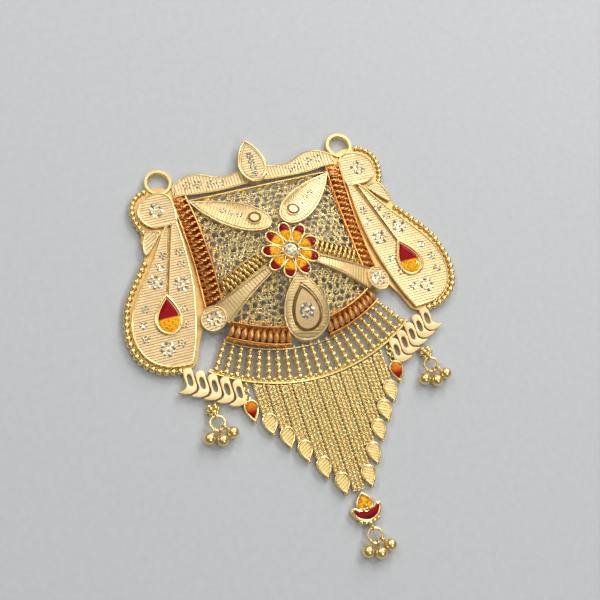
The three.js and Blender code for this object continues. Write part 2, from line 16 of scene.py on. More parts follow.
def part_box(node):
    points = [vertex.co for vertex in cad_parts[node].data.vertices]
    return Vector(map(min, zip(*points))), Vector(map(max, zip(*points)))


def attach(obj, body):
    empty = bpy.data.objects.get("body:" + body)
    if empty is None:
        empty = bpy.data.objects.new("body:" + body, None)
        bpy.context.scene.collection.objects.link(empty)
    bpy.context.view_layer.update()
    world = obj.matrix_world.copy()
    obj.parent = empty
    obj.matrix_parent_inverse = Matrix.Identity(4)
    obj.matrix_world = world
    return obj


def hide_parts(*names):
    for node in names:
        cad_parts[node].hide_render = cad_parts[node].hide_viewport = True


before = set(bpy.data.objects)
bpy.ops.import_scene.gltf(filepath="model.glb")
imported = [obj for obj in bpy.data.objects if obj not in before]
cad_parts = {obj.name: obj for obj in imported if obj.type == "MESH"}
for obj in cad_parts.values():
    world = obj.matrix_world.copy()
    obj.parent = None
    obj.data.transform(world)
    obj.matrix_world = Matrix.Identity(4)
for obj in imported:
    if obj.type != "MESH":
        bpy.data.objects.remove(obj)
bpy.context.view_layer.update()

MM = 0.001
stone_low, stone_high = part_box("centre_stone")
CENTRE = Vector(((stone_low[0] + stone_high[0]) / 2, (stone_low[1] + stone_high[1]) / 2, 0)) / MM
SCENE = bpy.context.scene
print("centre stone at", tuple(round(v, 2) for v in CENTRE), "mm")

# %% [markdown]
# ## Camera, table and light
# A small jewel needs a long lens, a plain pale table and large soft lamps. Polished gold shows
# what is round it more than it shows its own colour, so bright panels on one side and a dim room on
# the other give it form. A small bright lamp adds the glints on granules and bright cuts.

# %% Camera
# The camera looks down on the pendant's plate from the lower left, with the plate's top edge far away.
CAMERA_AT = Vector((-52.36, -53.64, 166.51)) + CENTRE
CAMERA_RIGHT = Vector((0.92792, -0.30854, 0.2092))
CAMERA_UP = Vector((0.22909, 0.91471, 0.3329))
camera_data = bpy.data.cameras.new("camera")
camera_data.lens = 67.9
camera_data.sensor_width = 36
camera_data.clip_start = 0.01
camera = bpy.data.objects.new("camera", camera_data)
SCENE.collection.objects.link(camera)
axes = Matrix((CAMERA_RIGHT, CAMERA_UP, CAMERA_RIGHT.cross(CAMERA_UP))).transposed().to_4x4()
camera.matrix_world = Matrix.Translation(CAMERA_AT * MM) @ axes
SCENE.camera = camera
print("camera stands", round((CAMERA_AT - CENTRE).length), "mm from the stone")

# %% [markdown]
# ## Nodes that every finish shares
# A finish here is one Principled shader whose colour, roughness and relief are fed by noise. The noise
# reads Object coordinates, which are real metres on a finished piece, so a scale is in cycles per
# metre and a grain has the same size on every piece. Painted textures would need an unwrapped surface
# on hundreds of tiny shapes, and would gain nothing at this size.

# %% Node helpers for materials
def new_material(name, color, metallic, roughness):
    """A material with one Principled shader, returned with its node tree and shader."""
    material = bpy.data.materials.new(name)
    material.use_nodes = True
    tree = material.node_tree
    shader = tree.nodes["Principled BSDF"]
    shader.inputs["Base Color"].default_value = (*color, 1)
    shader.inputs["Metallic"].default_value = metallic
    shader.inputs["Roughness"].default_value = roughness
    return material, tree, shader


def add_noise(tree, scale, detail=3.0):
    """Noise in the piece's own coordinates, with its scale in cycles per metre."""
    place = tree.nodes.new("ShaderNodeTexCoord")
    noise = tree.nodes.new("ShaderNodeTexNoise")
    noise.inputs["Scale"].default_value = scale
    noise.inputs["Detail"].default_value = detail
    tree.links.new(place.outputs["Object"], noise.inputs["Vector"])
    return noise.outputs["Fac"]


def add_ramp(tree, factor, stops):
    """A colour ramp with (position, colour) stops, fed by a factor."""
    ramp = tree.nodes.new("ShaderNodeValToRGB")
    ramp.color_ramp.elements[0].position, ramp.color_ramp.elements[1].position = stops[0][0], stops[-1][0]
    ramp.color_ramp.elements[0].color = (*stops[0][1], 1)
    ramp.color_ramp.elements[1].color = (*stops[-1][1], 1)
    for position, color in stops[1:-1]:
        ramp.color_ramp.elements.new(position).color = (*color, 1)
    tree.links.new(factor, ramp.inputs["Fac"])
    return ramp.outputs["Color"]


def add_bump(tree, shader, height, strength, distance):
    """Small relief from a height output, with its depth in metres."""
    bump = tree.nodes.new("ShaderNodeBump")
    bump.inputs["Strength"].default_value = strength
    bump.inputs["Distance"].default_value = distance
    tree.links.new(height, bump.inputs["Height"])
    tree.links.new(bump.outputs["Normal"], shader.inputs["Normal"])


def add_span(tree, value, low, high, to_low, to_high):
    """Maps a value from one range to another, clamped."""
    span = tree.nodes.new("ShaderNodeMapRange")
    span.inputs["From Min"].default_value = low
    span.inputs["From Max"].default_value = high
    span.inputs["To Min"].default_value = to_low
    span.inputs["To Max"].default_value = to_high
    tree.links.new(value, span.inputs["Value"])
    return span.outputs["Result"]


# %% [markdown]
# ## Table and lamps
# The table is a plain sheet, far larger than the pendant.
# One large window and one large panel overhead give soft light. The four small lamps are glints: they
# are too small to light the gold evenly, but each one shows as a point on every ball and granule.

# %% Table and lamps
def make_table():
    """A plain pale sheet, far larger than the pendant."""
    material, tree, shader = new_material("pale_table", (0.55, 0.57, 0.59), 0.0, 0.7)
    grain = add_noise(tree, 900.0)
    tree.links.new(
        add_ramp(tree, grain, [(0.3, (0.535, 0.555, 0.58)), (0.7, (0.565, 0.585, 0.61))]),
        shader.inputs["Base Color"],
    )
    add_bump(tree, shader, grain, 0.05, 0.0002)
    sheet = bmesh.new()
    bmesh.ops.create_grid(sheet, x_segments=1, y_segments=1, size=0.8)
    mesh = bpy.data.meshes.new("table")
    sheet.to_mesh(mesh)
    sheet.free()
    mesh.materials.append(material)
    table = bpy.data.objects.new("table", mesh)
    table.location.z = -0.0001
    SCENE.collection.objects.link(table)


def add_lamp(name, place, size, power, color):
    """A square soft lamp at a place in millimetres from the stone, aimed at the pendant."""
    lamp = bpy.data.lights.new(name, "AREA")
    lamp.size = size * MM
    lamp.energy = power
    lamp.color = color
    holder = bpy.data.objects.new(name, lamp)
    holder.location = (Vector(place) + CENTRE) * MM
    holder.rotation_euler = (-Vector(place)).to_track_quat("-Z", "Y").to_euler()
    SCENE.collection.objects.link(holder)


make_table()
add_lamp("window", (300, 330, 300), 320, 1.4, (1.0, 0.98, 0.95))
add_lamp("overhead", (60, 30, 480), 520, 0.72, (1.0, 0.985, 0.96))
GLINTS = {
    "right": (240, 60, 300), "left": (-200, 180, 330), "front": (60, -260, 300), "back": (-60, 300, 260),
}
for side, place in GLINTS.items():
    add_lamp(f"glint_{side}", place, 30, 0.2, (1.0, 0.97, 0.9))
room = bpy.data.worlds.new("room")
room.use_nodes = True
room.node_tree.nodes["Background"].inputs["Color"].default_value = (0.62, 0.64, 0.68, 1)
room.node_tree.nodes["Background"].inputs["Strength"].default_value = 0.28
SCENE.world = room
SCENE.view_settings.view_transform = "Standard"
print(2 + len(GLINTS), "lamps")

# %% [markdown]
# ## Metals
# The sheet work is pale, because it is left matt and engraved. Granules, chain and balls are polished
# and look richer. The twisted bands are tinted copper red. Channels and the ground under the coils get
# a dark gold and a dark copper that are painted shade, because little light gets down there. One recipe
# makes them all: a light and a dark tone in patches, a roughness that wanders, and a relief of a few microns.

# %% Gold finishes
def make_gold(name, light, dark, roughness, grain, relief):
    """Gold that drifts between two shades and two roughnesses at the scale of its hand finish."""
    material, tree, shader = new_material(name, light, 1.0, roughness)
    patches = add_noise(tree, grain, 5.0)
    tree.links.new(add_ramp(tree, patches, [(0.3, dark), (0.62, light)]), shader.inputs["Base Color"])
    fine = add_noise(tree, grain * 6, 2.0)
    gloss = add_span(tree, fine, 0.3, 0.7, roughness * 0.8, roughness * 1.35)
    tree.links.new(gloss, shader.inputs["Roughness"])
    add_bump(tree, shader, fine, 0.35, relief)
    return material


SHEET_GOLD = make_gold("matt_sheet_gold", (0.80, 0.635, 0.375), (0.735, 0.555, 0.305), 0.40, 900.0, 0.00001)
PANEL_GOLD = make_gold("panel_sheet_gold", (0.90, 0.72, 0.41), (0.82, 0.62, 0.33), 0.42, 900.0, 0.00001)
RICH_GOLD = make_gold("polished_gold", (0.97, 0.77, 0.35), (0.90, 0.66, 0.25), 0.28, 700.0, 0.000002)
COIL_GOLD = make_gold("coil_gold", (0.94, 0.69, 0.28), (0.84, 0.57, 0.19), 0.28, 700.0, 0.000002)
WIRE_GOLD = make_gold("drawn_wire_gold", (0.95, 0.75, 0.36), (0.87, 0.64, 0.27), 0.28, 1200.0, 0.000004)
LACE_GOLD = make_gold("lace_wire_gold", (1.0, 0.87, 0.54), (0.94, 0.77, 0.41), 0.34, 1200.0, 0.000004)
CHAIN_GOLD = make_gold("chain_gold", (1.0, 0.84, 0.45), (0.95, 0.75, 0.36), 0.28, 700.0, 0.000002)
SATIN_GOLD = make_gold("satin_gold", (0.85, 0.66, 0.36), (0.78, 0.57, 0.28), 0.45, 500.0, 0.000004)
CUT_GOLD = make_gold("bright_cut_gold", (0.98, 0.92, 0.74), (0.90, 0.80, 0.58), 0.20, 1500.0, 0.000002)
TAN_GOLD = make_gold("frosted_gold", (0.84, 0.62, 0.34), (0.76, 0.53, 0.27), 0.55, 2200.0, 0.00002)
# Darker amber for the wing's base, painted shade where it shows between the rim and the granules.
AMBER_GOLD = make_gold("amber_gold", (0.78, 0.52, 0.20), (0.66, 0.41, 0.14), 0.40, 900.0, 0.000004)
# Painted shade: dark gold for the ground under the coils, the eye rings and the medallion's floor.
PAINTED_SHADE_GOLD = make_gold("painted_shade_gold", (0.30, 0.20, 0.08), (0.20, 0.12, 0.04), 0.60, 900.0, 0.000004)
COPPER = make_gold("copper_tinted_wire", (0.98, 0.52, 0.17), (0.82, 0.36, 0.08), 0.30, 1600.0, 0.00001)
DROP_COPPER = make_gold("pale_copper_drops", (1.0, 0.60, 0.25), (0.90, 0.46, 0.14), 0.38, 1600.0, 0.00001)
# Painted shade: dark copper for the ground under the side bands and the lower bands.
PAINTED_SHADE_COPPER = make_gold("painted_shade_copper", (0.45, 0.17, 0.04), (0.32, 0.10, 0.02), 0.60, 900.0, 0.000004)
print("sheet gold and", COPPER.name.replace("_", " "), "are ready")

# %% [markdown]
# ## Enamels
# Enamel is coloured glass melted over foil in a gold cell. Where two colours meet they run together a
# little, so one cell holds both, and the change is drawn by a coordinate: height along the pendant in
# the drops, distance from the stone in the petals. A clear coat gives the glass its wet shine, and
# specks of foil show through the lighter colours.

# %% Enamels that change colour across a cell
RED = (0.31, 0.001, 0.007)
DEEP_RED = (0.17, 0.001, 0.006)
YELLOW = (1.0, 0.44, 0.008)
ORANGE = (0.75, 0.20, 0.005)


def add_foil(tree, color):
    """The grain of the foil, which shows through the lighter enamel as paler and darker specks."""
    mix = tree.nodes.new("ShaderNodeMix")
    mix.data_type = "RGBA"
    mix.blend_type = "MULTIPLY"
    parts = tree.nodes.new("ShaderNodeSeparateColor")
    tree.links.new(color, parts.inputs["Color"])
    tree.links.new(add_span(tree, parts.outputs["Green"], 0.05, 0.3, 0, 0.85), mix.inputs["Factor"])
    stops = [(0.36, (0.5, 0.42, 0.35)), (0.6, (1.25, 1.3, 1.2))]
    specks = add_ramp(tree, add_noise(tree, 3200.0, 1.0), stops)
    tree.links.new(color, mix.inputs["A"])
    tree.links.new(specks, mix.inputs["B"])
    return mix.outputs["Result"]


def finish_enamel(tree, shader):
    """A clear glassy coat with a little foil grain below it."""
    shader.inputs["Specular IOR Level"].default_value = 0.0
    shader.inputs["Coat Weight"].default_value = 0.3
    shader.inputs["Coat Roughness"].default_value = 0.03
    add_bump(tree, shader, add_noise(tree, 4200.0), 0.25, 0.00003)


def axis_enamel(name, edge, low_color, high_color, blur=0.0003):
    """Enamel in two colours that meet at one height along the pendant."""
    material, tree, shader = new_material(name, RED, 0.0, 0.5)
    place = tree.nodes.new("ShaderNodeTexCoord")
    split = tree.nodes.new("ShaderNodeSeparateXYZ")
    tree.links.new(place.outputs["Object"], split.inputs["Vector"])
    level = (edge + CENTRE.y) * MM
    share = add_span(tree, split.outputs["Y"], level - blur, level + blur, 0, 1)
    color = add_foil(tree, add_ramp(tree, share, [(0.0, low_color), (1.0, high_color)]))
    tree.links.new(color, shader.inputs["Base Color"])
    finish_enamel(tree, shader)
    return material


def petal_enamel():
    """Yellow near the stone and red at the tips, measured out from the stone."""
    material, tree, shader = new_material("petal_enamel", RED, 0.0, 0.5)
    place = tree.nodes.new("ShaderNodeTexCoord")
    moved = tree.nodes.new("ShaderNodeVectorMath")
    moved.operation = "SUBTRACT"
    moved.inputs[1].default_value = CENTRE * MM
    flat = tree.nodes.new("ShaderNodeVectorMath")
    flat.operation = "MULTIPLY"
    flat.inputs[1].default_value = (1, 1, 0)
    reach = tree.nodes.new("ShaderNodeVectorMath")
    reach.operation = "LENGTH"
    tree.links.new(place.outputs["Object"], moved.inputs[0])
    tree.links.new(moved.outputs["Vector"], flat.inputs[0])
    tree.links.new(flat.outputs["Vector"], reach.inputs[0])
    share = add_span(tree, reach.outputs["Value"], 0.0014, 0.0046, 0, 1)
    stops = [(0.0, ORANGE), (0.25, YELLOW), (0.54, YELLOW), (0.64, RED), (1.0, DEEP_RED)]
    tree.links.new(add_foil(tree, add_ramp(tree, share, stops)), shader.inputs["Base Color"])
    finish_enamel(tree, shader)
    return material


# %% [markdown]
# ## Stone
# The small stone flashes, because light turns back inside it. Real refraction in so small a gem would
# be noisy to render, so its body colour carries broad bright and dark patches, painted reflections for
# what its lower facets would show, under a hard gloss with a high index.

# %% Stone
def clear_stone():
    """A clear faceted stone: bright and dark patches in its colour are painted reflections of its lower
    facets.
    """
    material, tree, shader = new_material("clear_stone", (0.80, 0.78, 0.58), 0.0, 0.05)
    # Painted reflections: bright and dark patches of body colour stand in for light the lower facets turn
    # back.
    patches = add_noise(tree, 2300.0, 1.0)
    stops = [(0.40, (0.42, 0.34, 0.12)), (0.48, (0.92, 0.82, 0.48)), (0.56, (1.0, 0.98, 0.82))]
    tree.links.new(add_ramp(tree, patches, stops), shader.inputs["Base Color"])
    shader.inputs["IOR"].default_value = 2.0
    return material


# %% [markdown]
# ## Shapes in millimetres
# Every outline is a short list of points, a smooth line through them, or a drop. A drop has a sharp
# tip and a round tail, and it returns everywhere on this pendant: leaves, petals, collets, enamels.
# Outlines are plain lists of vectors, because the same one is used for a sheet, for the wire along its
# edge, and to test what it covers.

# %% Outlines
def polar(radius, degrees, centre=(0, 0)):
    """A point at an angle round a centre."""
    angle = math.radians(degrees)
    return Vector((centre[0] + radius * math.cos(angle), centre[1] + radius * math.sin(angle), 0))


def smooth_line(points, steps=6, closed=False):
    """A Catmull-Rom line through the points, with this many steps between neighbours."""
    knots = [Vector((p[0], p[1], p[2] if len(p) > 2 else 0)) for p in points]
    count = len(knots)
    line = []
    for i in range(count if closed else count - 1):
        if closed:
            a, b, c, d = (knots[(i + k) % count] for k in (-1, 0, 1, 2))
        else:
            a, b, c, d = (knots[min(max(i + k, 0), count - 1)] for k in (-1, 0, 1, 2))
        for step in range(steps):
            t = step / steps
            line.append(0.5 * (
                2 * b + (c - a) * t + (2 * a - 5 * b + 4 * c - d) * t * t + (3 * b - a - 3 * c + d) * t ** 3
            ))
    if not closed:
        line.append(knots[-1])
    return line


def drop(tip, tail, width, sides=40, sharpness=1.0):
    """A drop from its tip to its round tail."""
    start, end = Vector((*tip, 0)), Vector((*tail, 0))
    middle = (start + end) / 2
    axis = (start - end) / 2
    across = Vector((-axis.y, axis.x, 0)).normalized()

    def swell(t):
        return math.sin(t) * abs(math.sin(t / 2)) ** sharpness

    widest = max(swell(i * math.pi / 90) for i in range(91))
    turns = [2 * math.pi * i / sides for i in range(sides)]
    return [middle + axis * math.cos(t) + across * swell(t) * width / (2 * widest) for t in turns]


def even_points(line, pitch):
    """Points at an even pitch along a line, half a pitch in from its ends."""
    lengths = [(b - a).length for a, b in zip(line, line[1:])]
    total = sum(lengths)
    count = max(1, round(total / pitch))
    found, walked, i = [], 0.0, 0
    for k in range(count):
        goal = (k + 0.5) * total / count
        while walked + lengths[i] < goal:
            walked += lengths[i]
            i += 1
        found.append(line[i].lerp(line[i + 1], (goal - walked) / lengths[i]))
    return found


def lift_points(points, height):
    """The same points at one height."""
    return [Vector((p.x, p.y, height)) for p in points]


# %% [markdown]
# ## The dome
# The middle panel swells up like a low cushion, highest near the flower. Its parts are drawn flat,
# where outlines are easy to read, and each vertex is then lifted by the dome's height at its place. So
# long flat faces are sliced first, or they would cut through the dome instead of following it.

# %% The dome's height
DOME = {"height": 4.6, "half_width": 14.2, "peak": -3.0, "above": 17.2, "below": 11.2}


def dome_height(x, y):
    """How far the middle panel swells above the flat at one place."""
    run = DOME["above"] if y > DOME["peak"] else DOME["below"]
    across = max(0.0, 1 - (x / DOME["half_width"]) ** 2)
    along = max(0.0, 1 - ((y - DOME["peak"]) / run) ** 2)
    return DOME["height"] * across * along


def raise_onto_dome(bm):
    """Moves every vertex up by the dome's height there."""
    for vert in bm.verts:
        vert.co.z += dome_height(vert.co.x, vert.co.y)


print("dome is", round(dome_height(0, DOME["peak"]), 2), "mm high at its peak")

# %% [markdown]
# ## Bench tools
# A few helpers do a goldsmith's jobs: sawing sheet to an outline, engraving lines into it, laying wire,
# setting granules, and cutting bright facets. Each one starts from a bmesh primitive or one face and
# shapes it with bmesh operators, so the mesh stays clean and closed. A shape that comes back many times
# is made once, as a stamp, and copied, which is far quicker than building it again.

# %% Joining shapes
def absorb(bm, part):
    """Adds a small mesh under construction to a larger one, and frees it."""
    mesh = bpy.data.meshes.new("passing")
    part.to_mesh(mesh)
    part.free()
    bm.from_mesh(mesh)
    bpy.data.meshes.remove(mesh)


def make_stamp(part):
    """Keeps a small shape as a mesh that can be stamped many times."""
    mesh = bpy.data.meshes.new("stamp")
    part.to_mesh(mesh)
    part.free()
    return mesh


def stamp(bm, shape, matrix):
    """Adds a stamp to a mesh, moved and turned by a matrix."""
    copy = shape.copy()
    copy.transform(matrix)
    bm.from_mesh(copy)
    bpy.data.meshes.remove(copy)


def mirror_across(bm):
    """Turns a right-hand shape into its left-hand twin."""
    bmesh.ops.scale(bm, vec=(-1, 1, 1), verts=bm.verts)
    bmesh.ops.reverse_faces(bm, faces=bm.faces)


def finish_piece(bm, name, material, replaces=(), crease=35):
    """Scales a shape to metres, gives it its finish and ties it to the frame."""
    bmesh.ops.translate(bm, vec=CENTRE, verts=bm.verts)
    bmesh.ops.scale(bm, vec=(MM, MM, MM), verts=bm.verts)
    for face in bm.faces:
        face.material_index = 0
        face.smooth = True
    mesh = bpy.data.meshes.new(name)
    bm.to_mesh(mesh)
    bm.free()
    mesh.set_sharp_from_angle(angle=math.radians(crease))
    mesh.materials.append(material)
    obj = bpy.data.objects.new(name, mesh)
    SCENE.collection.objects.link(obj)
    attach(obj, "root")
    if replaces:
        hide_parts(*replaces)
    print(name, len(mesh.polygons), "faces")
    return obj


def finish_pair(build, name, material, replaces=(), crease=35):
    """Builds the right-hand piece and its left-hand twin."""
    for side in ("right", "left"):
        bm = build()
        if side == "left":
            mirror_across(bm)
        finish_piece(bm, f"{side}_{name}", material, [f"{side}_{node}" for node in replaces], crease)


# %% [markdown]
# ## Sheet and engraving
# Sheet is one face extruded to its thickness. Insets leave a border and a sunk line round its top. The
# engraved lines are real grooves: the top is sliced in threes by upright planes, and the middle line
# of each three is pushed down. Relief from a bump texture would vanish at the sheet's edge and in the
# exported mesh, and these lines are wide enough to catch the light one by one.

# %% Sheet, cut to an outline
FLUTED, PLAIN = 1, 2
GROOVE_WIDTH = 0.1
ON_LINE = 0.01


def saw_sheet(outline, low, high, border=0.0, groove=0.0, tag=FLUTED):
    """Sheet between two heights. Its top, inside border and groove, is tagged for later work."""
    bm = bmesh.new()
    face = bm.faces.new([bm.verts.new((p.x, p.y, low)) for p in outline])
    bmesh.ops.recalc_face_normals(bm, faces=[face])
    if face.normal.z > 0:
        bmesh.ops.reverse_faces(bm, faces=[face])
    grown = bmesh.ops.extrude_face_region(bm, geom=[face], use_keep_orig=True)["geom"]
    top = next(item for item in grown if isinstance(item, bmesh.types.BMFace))
    bmesh.ops.translate(bm, vec=(0, 0, high - low), verts=top.verts)
    bmesh.ops.recalc_face_normals(bm, faces=bm.faces)
    if border:
        bmesh.ops.inset_region(bm, faces=[top], thickness=border, use_even_offset=True)
    if groove:
        for depth in (-groove, groove):
            bmesh.ops.inset_region(
                bm, faces=[top], thickness=GROOVE_WIDTH, depth=depth, use_even_offset=False,
            )
    top.material_index = tag
    return bm


def tagged(bm, tag):
    """Faces with a tag, with their edges and vertices."""
    faces = [f for f in bm.faces if f.material_index == tag]
    edges = {e for f in faces for e in f.edges}
    verts = {v for f in faces for v in f.verts}
    return faces, edges, verts


def slice_sheet(bm, degrees, places, tag=FLUTED):
    """Slices the tagged faces by upright planes at these distances along a direction."""
    along = polar(1, degrees)
    for place in places:
        faces, edges, verts = tagged(bm, tag)
        bmesh.ops.bisect_plane(
            bm, geom=[*faces, *edges, *verts], dist=1e-4, plane_co=along * place, plane_no=along,
        )


def span_of(bm, degrees, tag):
    """The lowest and highest place of the tagged faces along a direction."""
    along = polar(1, degrees)
    places = [v.co.dot(along) for v in tagged(bm, tag)[2]]
    return min(places), max(places)


def engrave(bm, degrees, pitch=0.5, cut=0.17, depth=0.12, tag=FLUTED):
    """Cuts V grooves across a direction at an even pitch into the tagged faces."""
    low, high = span_of(bm, degrees, tag)
    count = max(1, int((high - low - cut) / pitch))
    start = (low + high - (count - 1) * pitch) / 2
    centres = [start + i * pitch for i in range(count)]
    slice_sheet(bm, degrees, [c + side for c in centres for side in (-cut / 2, 0, cut / 2)], tag)
    along = polar(1, degrees)
    for vert in tagged(bm, tag)[2]:
        place = vert.co.dot(along)
        nearest = min(centres, key=lambda c: abs(c - place))
        if abs(place - nearest) < ON_LINE:
            vert.co.z -= depth


def cross_slice(bm, degrees, spacing, tag=FLUTED):
    """Slices the tagged faces into short lengths, so that they can follow the dome."""
    low, high = span_of(bm, degrees, tag)
    count = int((high - low) / spacing)
    slice_sheet(bm, degrees, [low + (i + 1) * (high - low) / (count + 1) for i in range(count)], tag)


# %% [markdown]
# ## Wire, granules and bright cuts
# Wire is a curve with a round bevel, turned into a mesh, which keeps its thickness round every bend.
# Granules are balls, links are a circle spun into a ring, and the stone's collet is turned on a lathe.
# A bright cut is a facet that flashes: here each is a low four-sided pyramid, some steep and some
# flat, so that whichever way the pendant lies a few of them face a lamp.

# %% Wire
def lay_wires(bm, lines, radius, closed=True, sides=2):
    """Round wire along each line of points."""
    curve = bpy.data.curves.new("wire", "CURVE")
    curve.dimensions = "3D"
    curve.bevel_depth = radius
    curve.bevel_resolution = sides
    curve.use_fill_caps = not closed
    for line in lines:
        spline = curve.splines.new("POLY")
        spline.points.add(len(line) - 1)
        for point, place in zip(spline.points, line):
            point.co = (*place, 1)
        spline.use_cyclic_u = closed
    holder = bpy.data.objects.new("wire", curve)
    mesh = bpy.data.meshes.new_from_object(holder)
    bm.from_mesh(mesh)
    bpy.data.objects.remove(holder)
    bpy.data.curves.remove(curve)
    bpy.data.meshes.remove(mesh)


# %% Granules, links and bright cuts
def ball_stamp(radius, around=12, rings=8, flat=1.0):
    """A small round granule."""
    part = bmesh.new()
    bmesh.ops.create_uvsphere(part, u_segments=around, v_segments=rings, radius=radius)
    bmesh.ops.scale(part, vec=(1, 1, flat), verts=part.verts)
    return make_stamp(part)


def ring_stamp(radius, wire, around=12, sides=6):
    """A ring of round wire, lying flat: a small circle spun round the upright axis."""
    part = bmesh.new()
    turn = Matrix.Translation((radius, 0, 0)) @ Matrix.Rotation(math.pi / 2, 4, "X")
    bmesh.ops.create_circle(part, segments=sides, radius=wire, matrix=turn)
    bmesh.ops.spin(
        part, geom=[*part.verts, *part.edges], cent=(0, 0, 0), axis=(0, 0, 1), angle=2 * math.pi,
        steps=around, use_merge=True,
    )
    bmesh.ops.remove_doubles(part, verts=part.verts, dist=1e-4)
    bmesh.ops.recalc_face_normals(part, faces=part.faces)
    return make_stamp(part)


def turned_part(profile, steps=24):
    """A shape turned on a lathe from (radius, height) points that start and end on the axis."""
    part = bmesh.new()
    verts = [part.verts.new((r, 0, z)) for r, z in profile]
    edges = [part.edges.new(pair) for pair in zip(verts, verts[1:])]
    bmesh.ops.spin(
        part, geom=[*verts, *edges], cent=(0, 0, 0), axis=(0, 0, 1), angle=2 * math.pi,
        steps=steps, use_merge=True,
    )
    bmesh.ops.remove_doubles(part, verts=part.verts, dist=1e-4)
    bmesh.ops.recalc_face_normals(part, faces=part.faces)
    return part


FLAT_CUT = 0.55


def sparkle_stamp(petals, reach, size, height):
    """A bright-cut flower: flat and steep pyramids by turns round a middle one, so some always glint."""
    part = bmesh.new()
    places = [(0.0, 0.0)] + [(reach, 360 * i / petals) for i in range(petals)]
    for i, (radius, degrees) in enumerate(places):
        rise = height * (FLAT_CUT if i % 2 == 0 else 1.0)
        spot = polar(radius, degrees) + Vector((0, 0, rise / 2 - 0.03))
        turn = Matrix.Translation(spot) @ Matrix.Rotation(math.radians(degrees + 20 * i), 4, "Z")
        bmesh.ops.create_cone(
            part, cap_ends=True, segments=4, radius1=size, radius2=0.02, depth=rise,
            matrix=turn @ Matrix.Diagonal((1.2, 0.85, 1, 1)),
        )
    return make_stamp(part)


LARGE_SPARKLE = sparkle_stamp(8, 0.86, 0.42, 0.22)
SMALL_SPARKLE = sparkle_stamp(5, 0.42, 0.28, 0.18)
GRANULE = ball_stamp(0.57, 14, 9)
print("granule of", len(GRANULE.polygons), "faces, large bright cut of", len(LARGE_SPARKLE.polygons))


def set_stamps(bm, shape, places, turn=0.0, scale=1.0):
    """Stamps a shape at each place, each turned a little further."""
    for i, place in enumerate(places):
        spin = Matrix.Rotation(turn * i, 4, "Z")
        stamp(bm, shape, Matrix.Translation(place) @ spin @ Matrix.Scale(scale, 4))


# %% [markdown]
# ## Filling a cell with enamel
# Melted glass stands up in its cell like a drop of water, steep at the rim and flat in the middle. So
# the filling's top face is extruded three times, each time smaller and by a smaller rise.

# %% Enamel, domed in its cell
CROWN_STEPS = ((0.86, 0.5), (0.72, 0.32), (0.5, 0.18))


def fill_cell(outline, low, edge, crown):
    """A domed filling: the outline grown upward in three steps that close over its middle."""
    bm = saw_sheet(outline, low, edge)
    top = tagged(bm, FLUTED)[0][0]
    for shrink, rise in CROWN_STEPS:
        grown = bmesh.ops.extrude_face_region(bm, geom=[top])["geom"]
        top = next(item for item in grown if isinstance(item, bmesh.types.BMFace))
        middle = top.calc_center_median()
        bmesh.ops.scale(
            bm, vec=(shrink, shrink, 1), space=Matrix.Translation(-middle), verts=top.verts,
        )
        bmesh.ops.translate(bm, vec=(0, 0, crown * rise), verts=top.verts)
    return bm


# %% [markdown]
# ## Wings
# Each wing is pear-shaped sheet, engraved straight across, with a bright rim wire and a row of
# granules outside it. A slit runs from its neck to a collet with a drop of enamel. Above it sit a
# round boss, a half leaf and the band ring that the chain hooks into. The engraved sheet lies on a
# plain base of darker, warmer gold, which shows as a border beside it and carries the granules; its
# dark tone is painted shade for the hollow between the rim and the granules. The slit is part of the
# pear's outline, so the engraving stops at it cleanly.

# %% Wing outlines
PEAR = (
    smooth_line([(16.35, 10.5), (17.5, 9.4), (18.6, 7.6), (20.3, 5.0), (22.3, 2.4), (24.5, -0.6),
                 (26.1, -3.8), (26.45, -7.3), (25.2, -10.3), (22.6, -12.0), (19.0, -12.4)], 5)
    + smooth_line([(18.9, -12.3), (17.4, -8.8), (16.3, -5.0), (15.25, 0.0), (14.85, 5.6), (14.85, 10.6)], 5)
    + [Vector((15.75, 10.7, 0)), Vector((19.75, -1.6, 0)), Vector((20.0, -1.5, 0))]
)
BOSS = smooth_line([(14.65, 11.4), (14.6, 14.2), (15.4, 15.7), (17.0, 16.1), (19.0, 15.5), (20.3, 13.8),
                    (20.1, 11.9), (18.9, 10.7), (17.2, 10.45), (15.2, 10.6)], 5, closed=True)
BOSS_MIDDLE = (17.5, 13.3)
LEAFLET = smooth_line([(18.0, 9.6), (19.8, 10.0), (20.8, 8.7), (21.05, 6.4), (19.6, 7.6), (18.5, 8.9)], 6,
                      closed=True)
EDGE_LINE = smooth_line([(21.4, 5.4), (23.9, 2.2), (26.2, -1.3), (27.33, -6.0), (26.6, -9.9), (24.0, -12.35),
                         (20.6, -13.1)], 8)
BOSS_EDGE = smooth_line([(18.1, 17.0), (19.6, 16.5), (20.9, 15.1), (21.3, 13.0), (20.8, 10.9),
                         (20.2, 9.9)], 6)
BASE_TOP = ((12.6, 12.8), (12.6, 15.3), (13.9, 16.4), (16.2, 17.2), (18.4, 17.2), (20.4, 16.4), (21.4, 14.4),
            (21.3, 12.2), (20.6, 10.2), (21.2, 8.8), (21.3, 6.3))
BASE_INSIDE = ((19.6, -13.2), (18.3, -12.5), (17.1, -9.6), (15.0, -6.0), (14.0, -4.4), (13.8, 2.0),
               (13.8, 12.6))
BASE = [Vector((*p, 0)) for p in BASE_TOP] + EDGE_LINE[2:-2] + [Vector((*p, 0)) for p in BASE_INSIDE]
COLLET = drop((19.9, -0.9), (21.0, -7.0), 4.0)
ENAMEL_CELL = drop((19.98, -1.4), (20.93, -6.75), 3.3)
BAIL_AT = (15.8, 18.0, 0)
SHEET_TOP = 1.25
BIG_PLACES = [(22.0, -9.3), (20.9, 1.6), (17.0, 0.4)]
SMALL_PLACES = [(18.5, 5.6), (19.6, 3.9), (15.9, 5.6), (16.1, 3.6), (23.6, -2.3), (24.6, -4.7), (24.8, -7.0),
                (17.9, -3.6), (18.6, -6.1), (19.7, -8.9)]
GRANULE_LEVEL = 0.78
print("pear outline of", len(PEAR), "points,", len(BIG_PLACES) + len(SMALL_PLACES), "bright cuts on it")


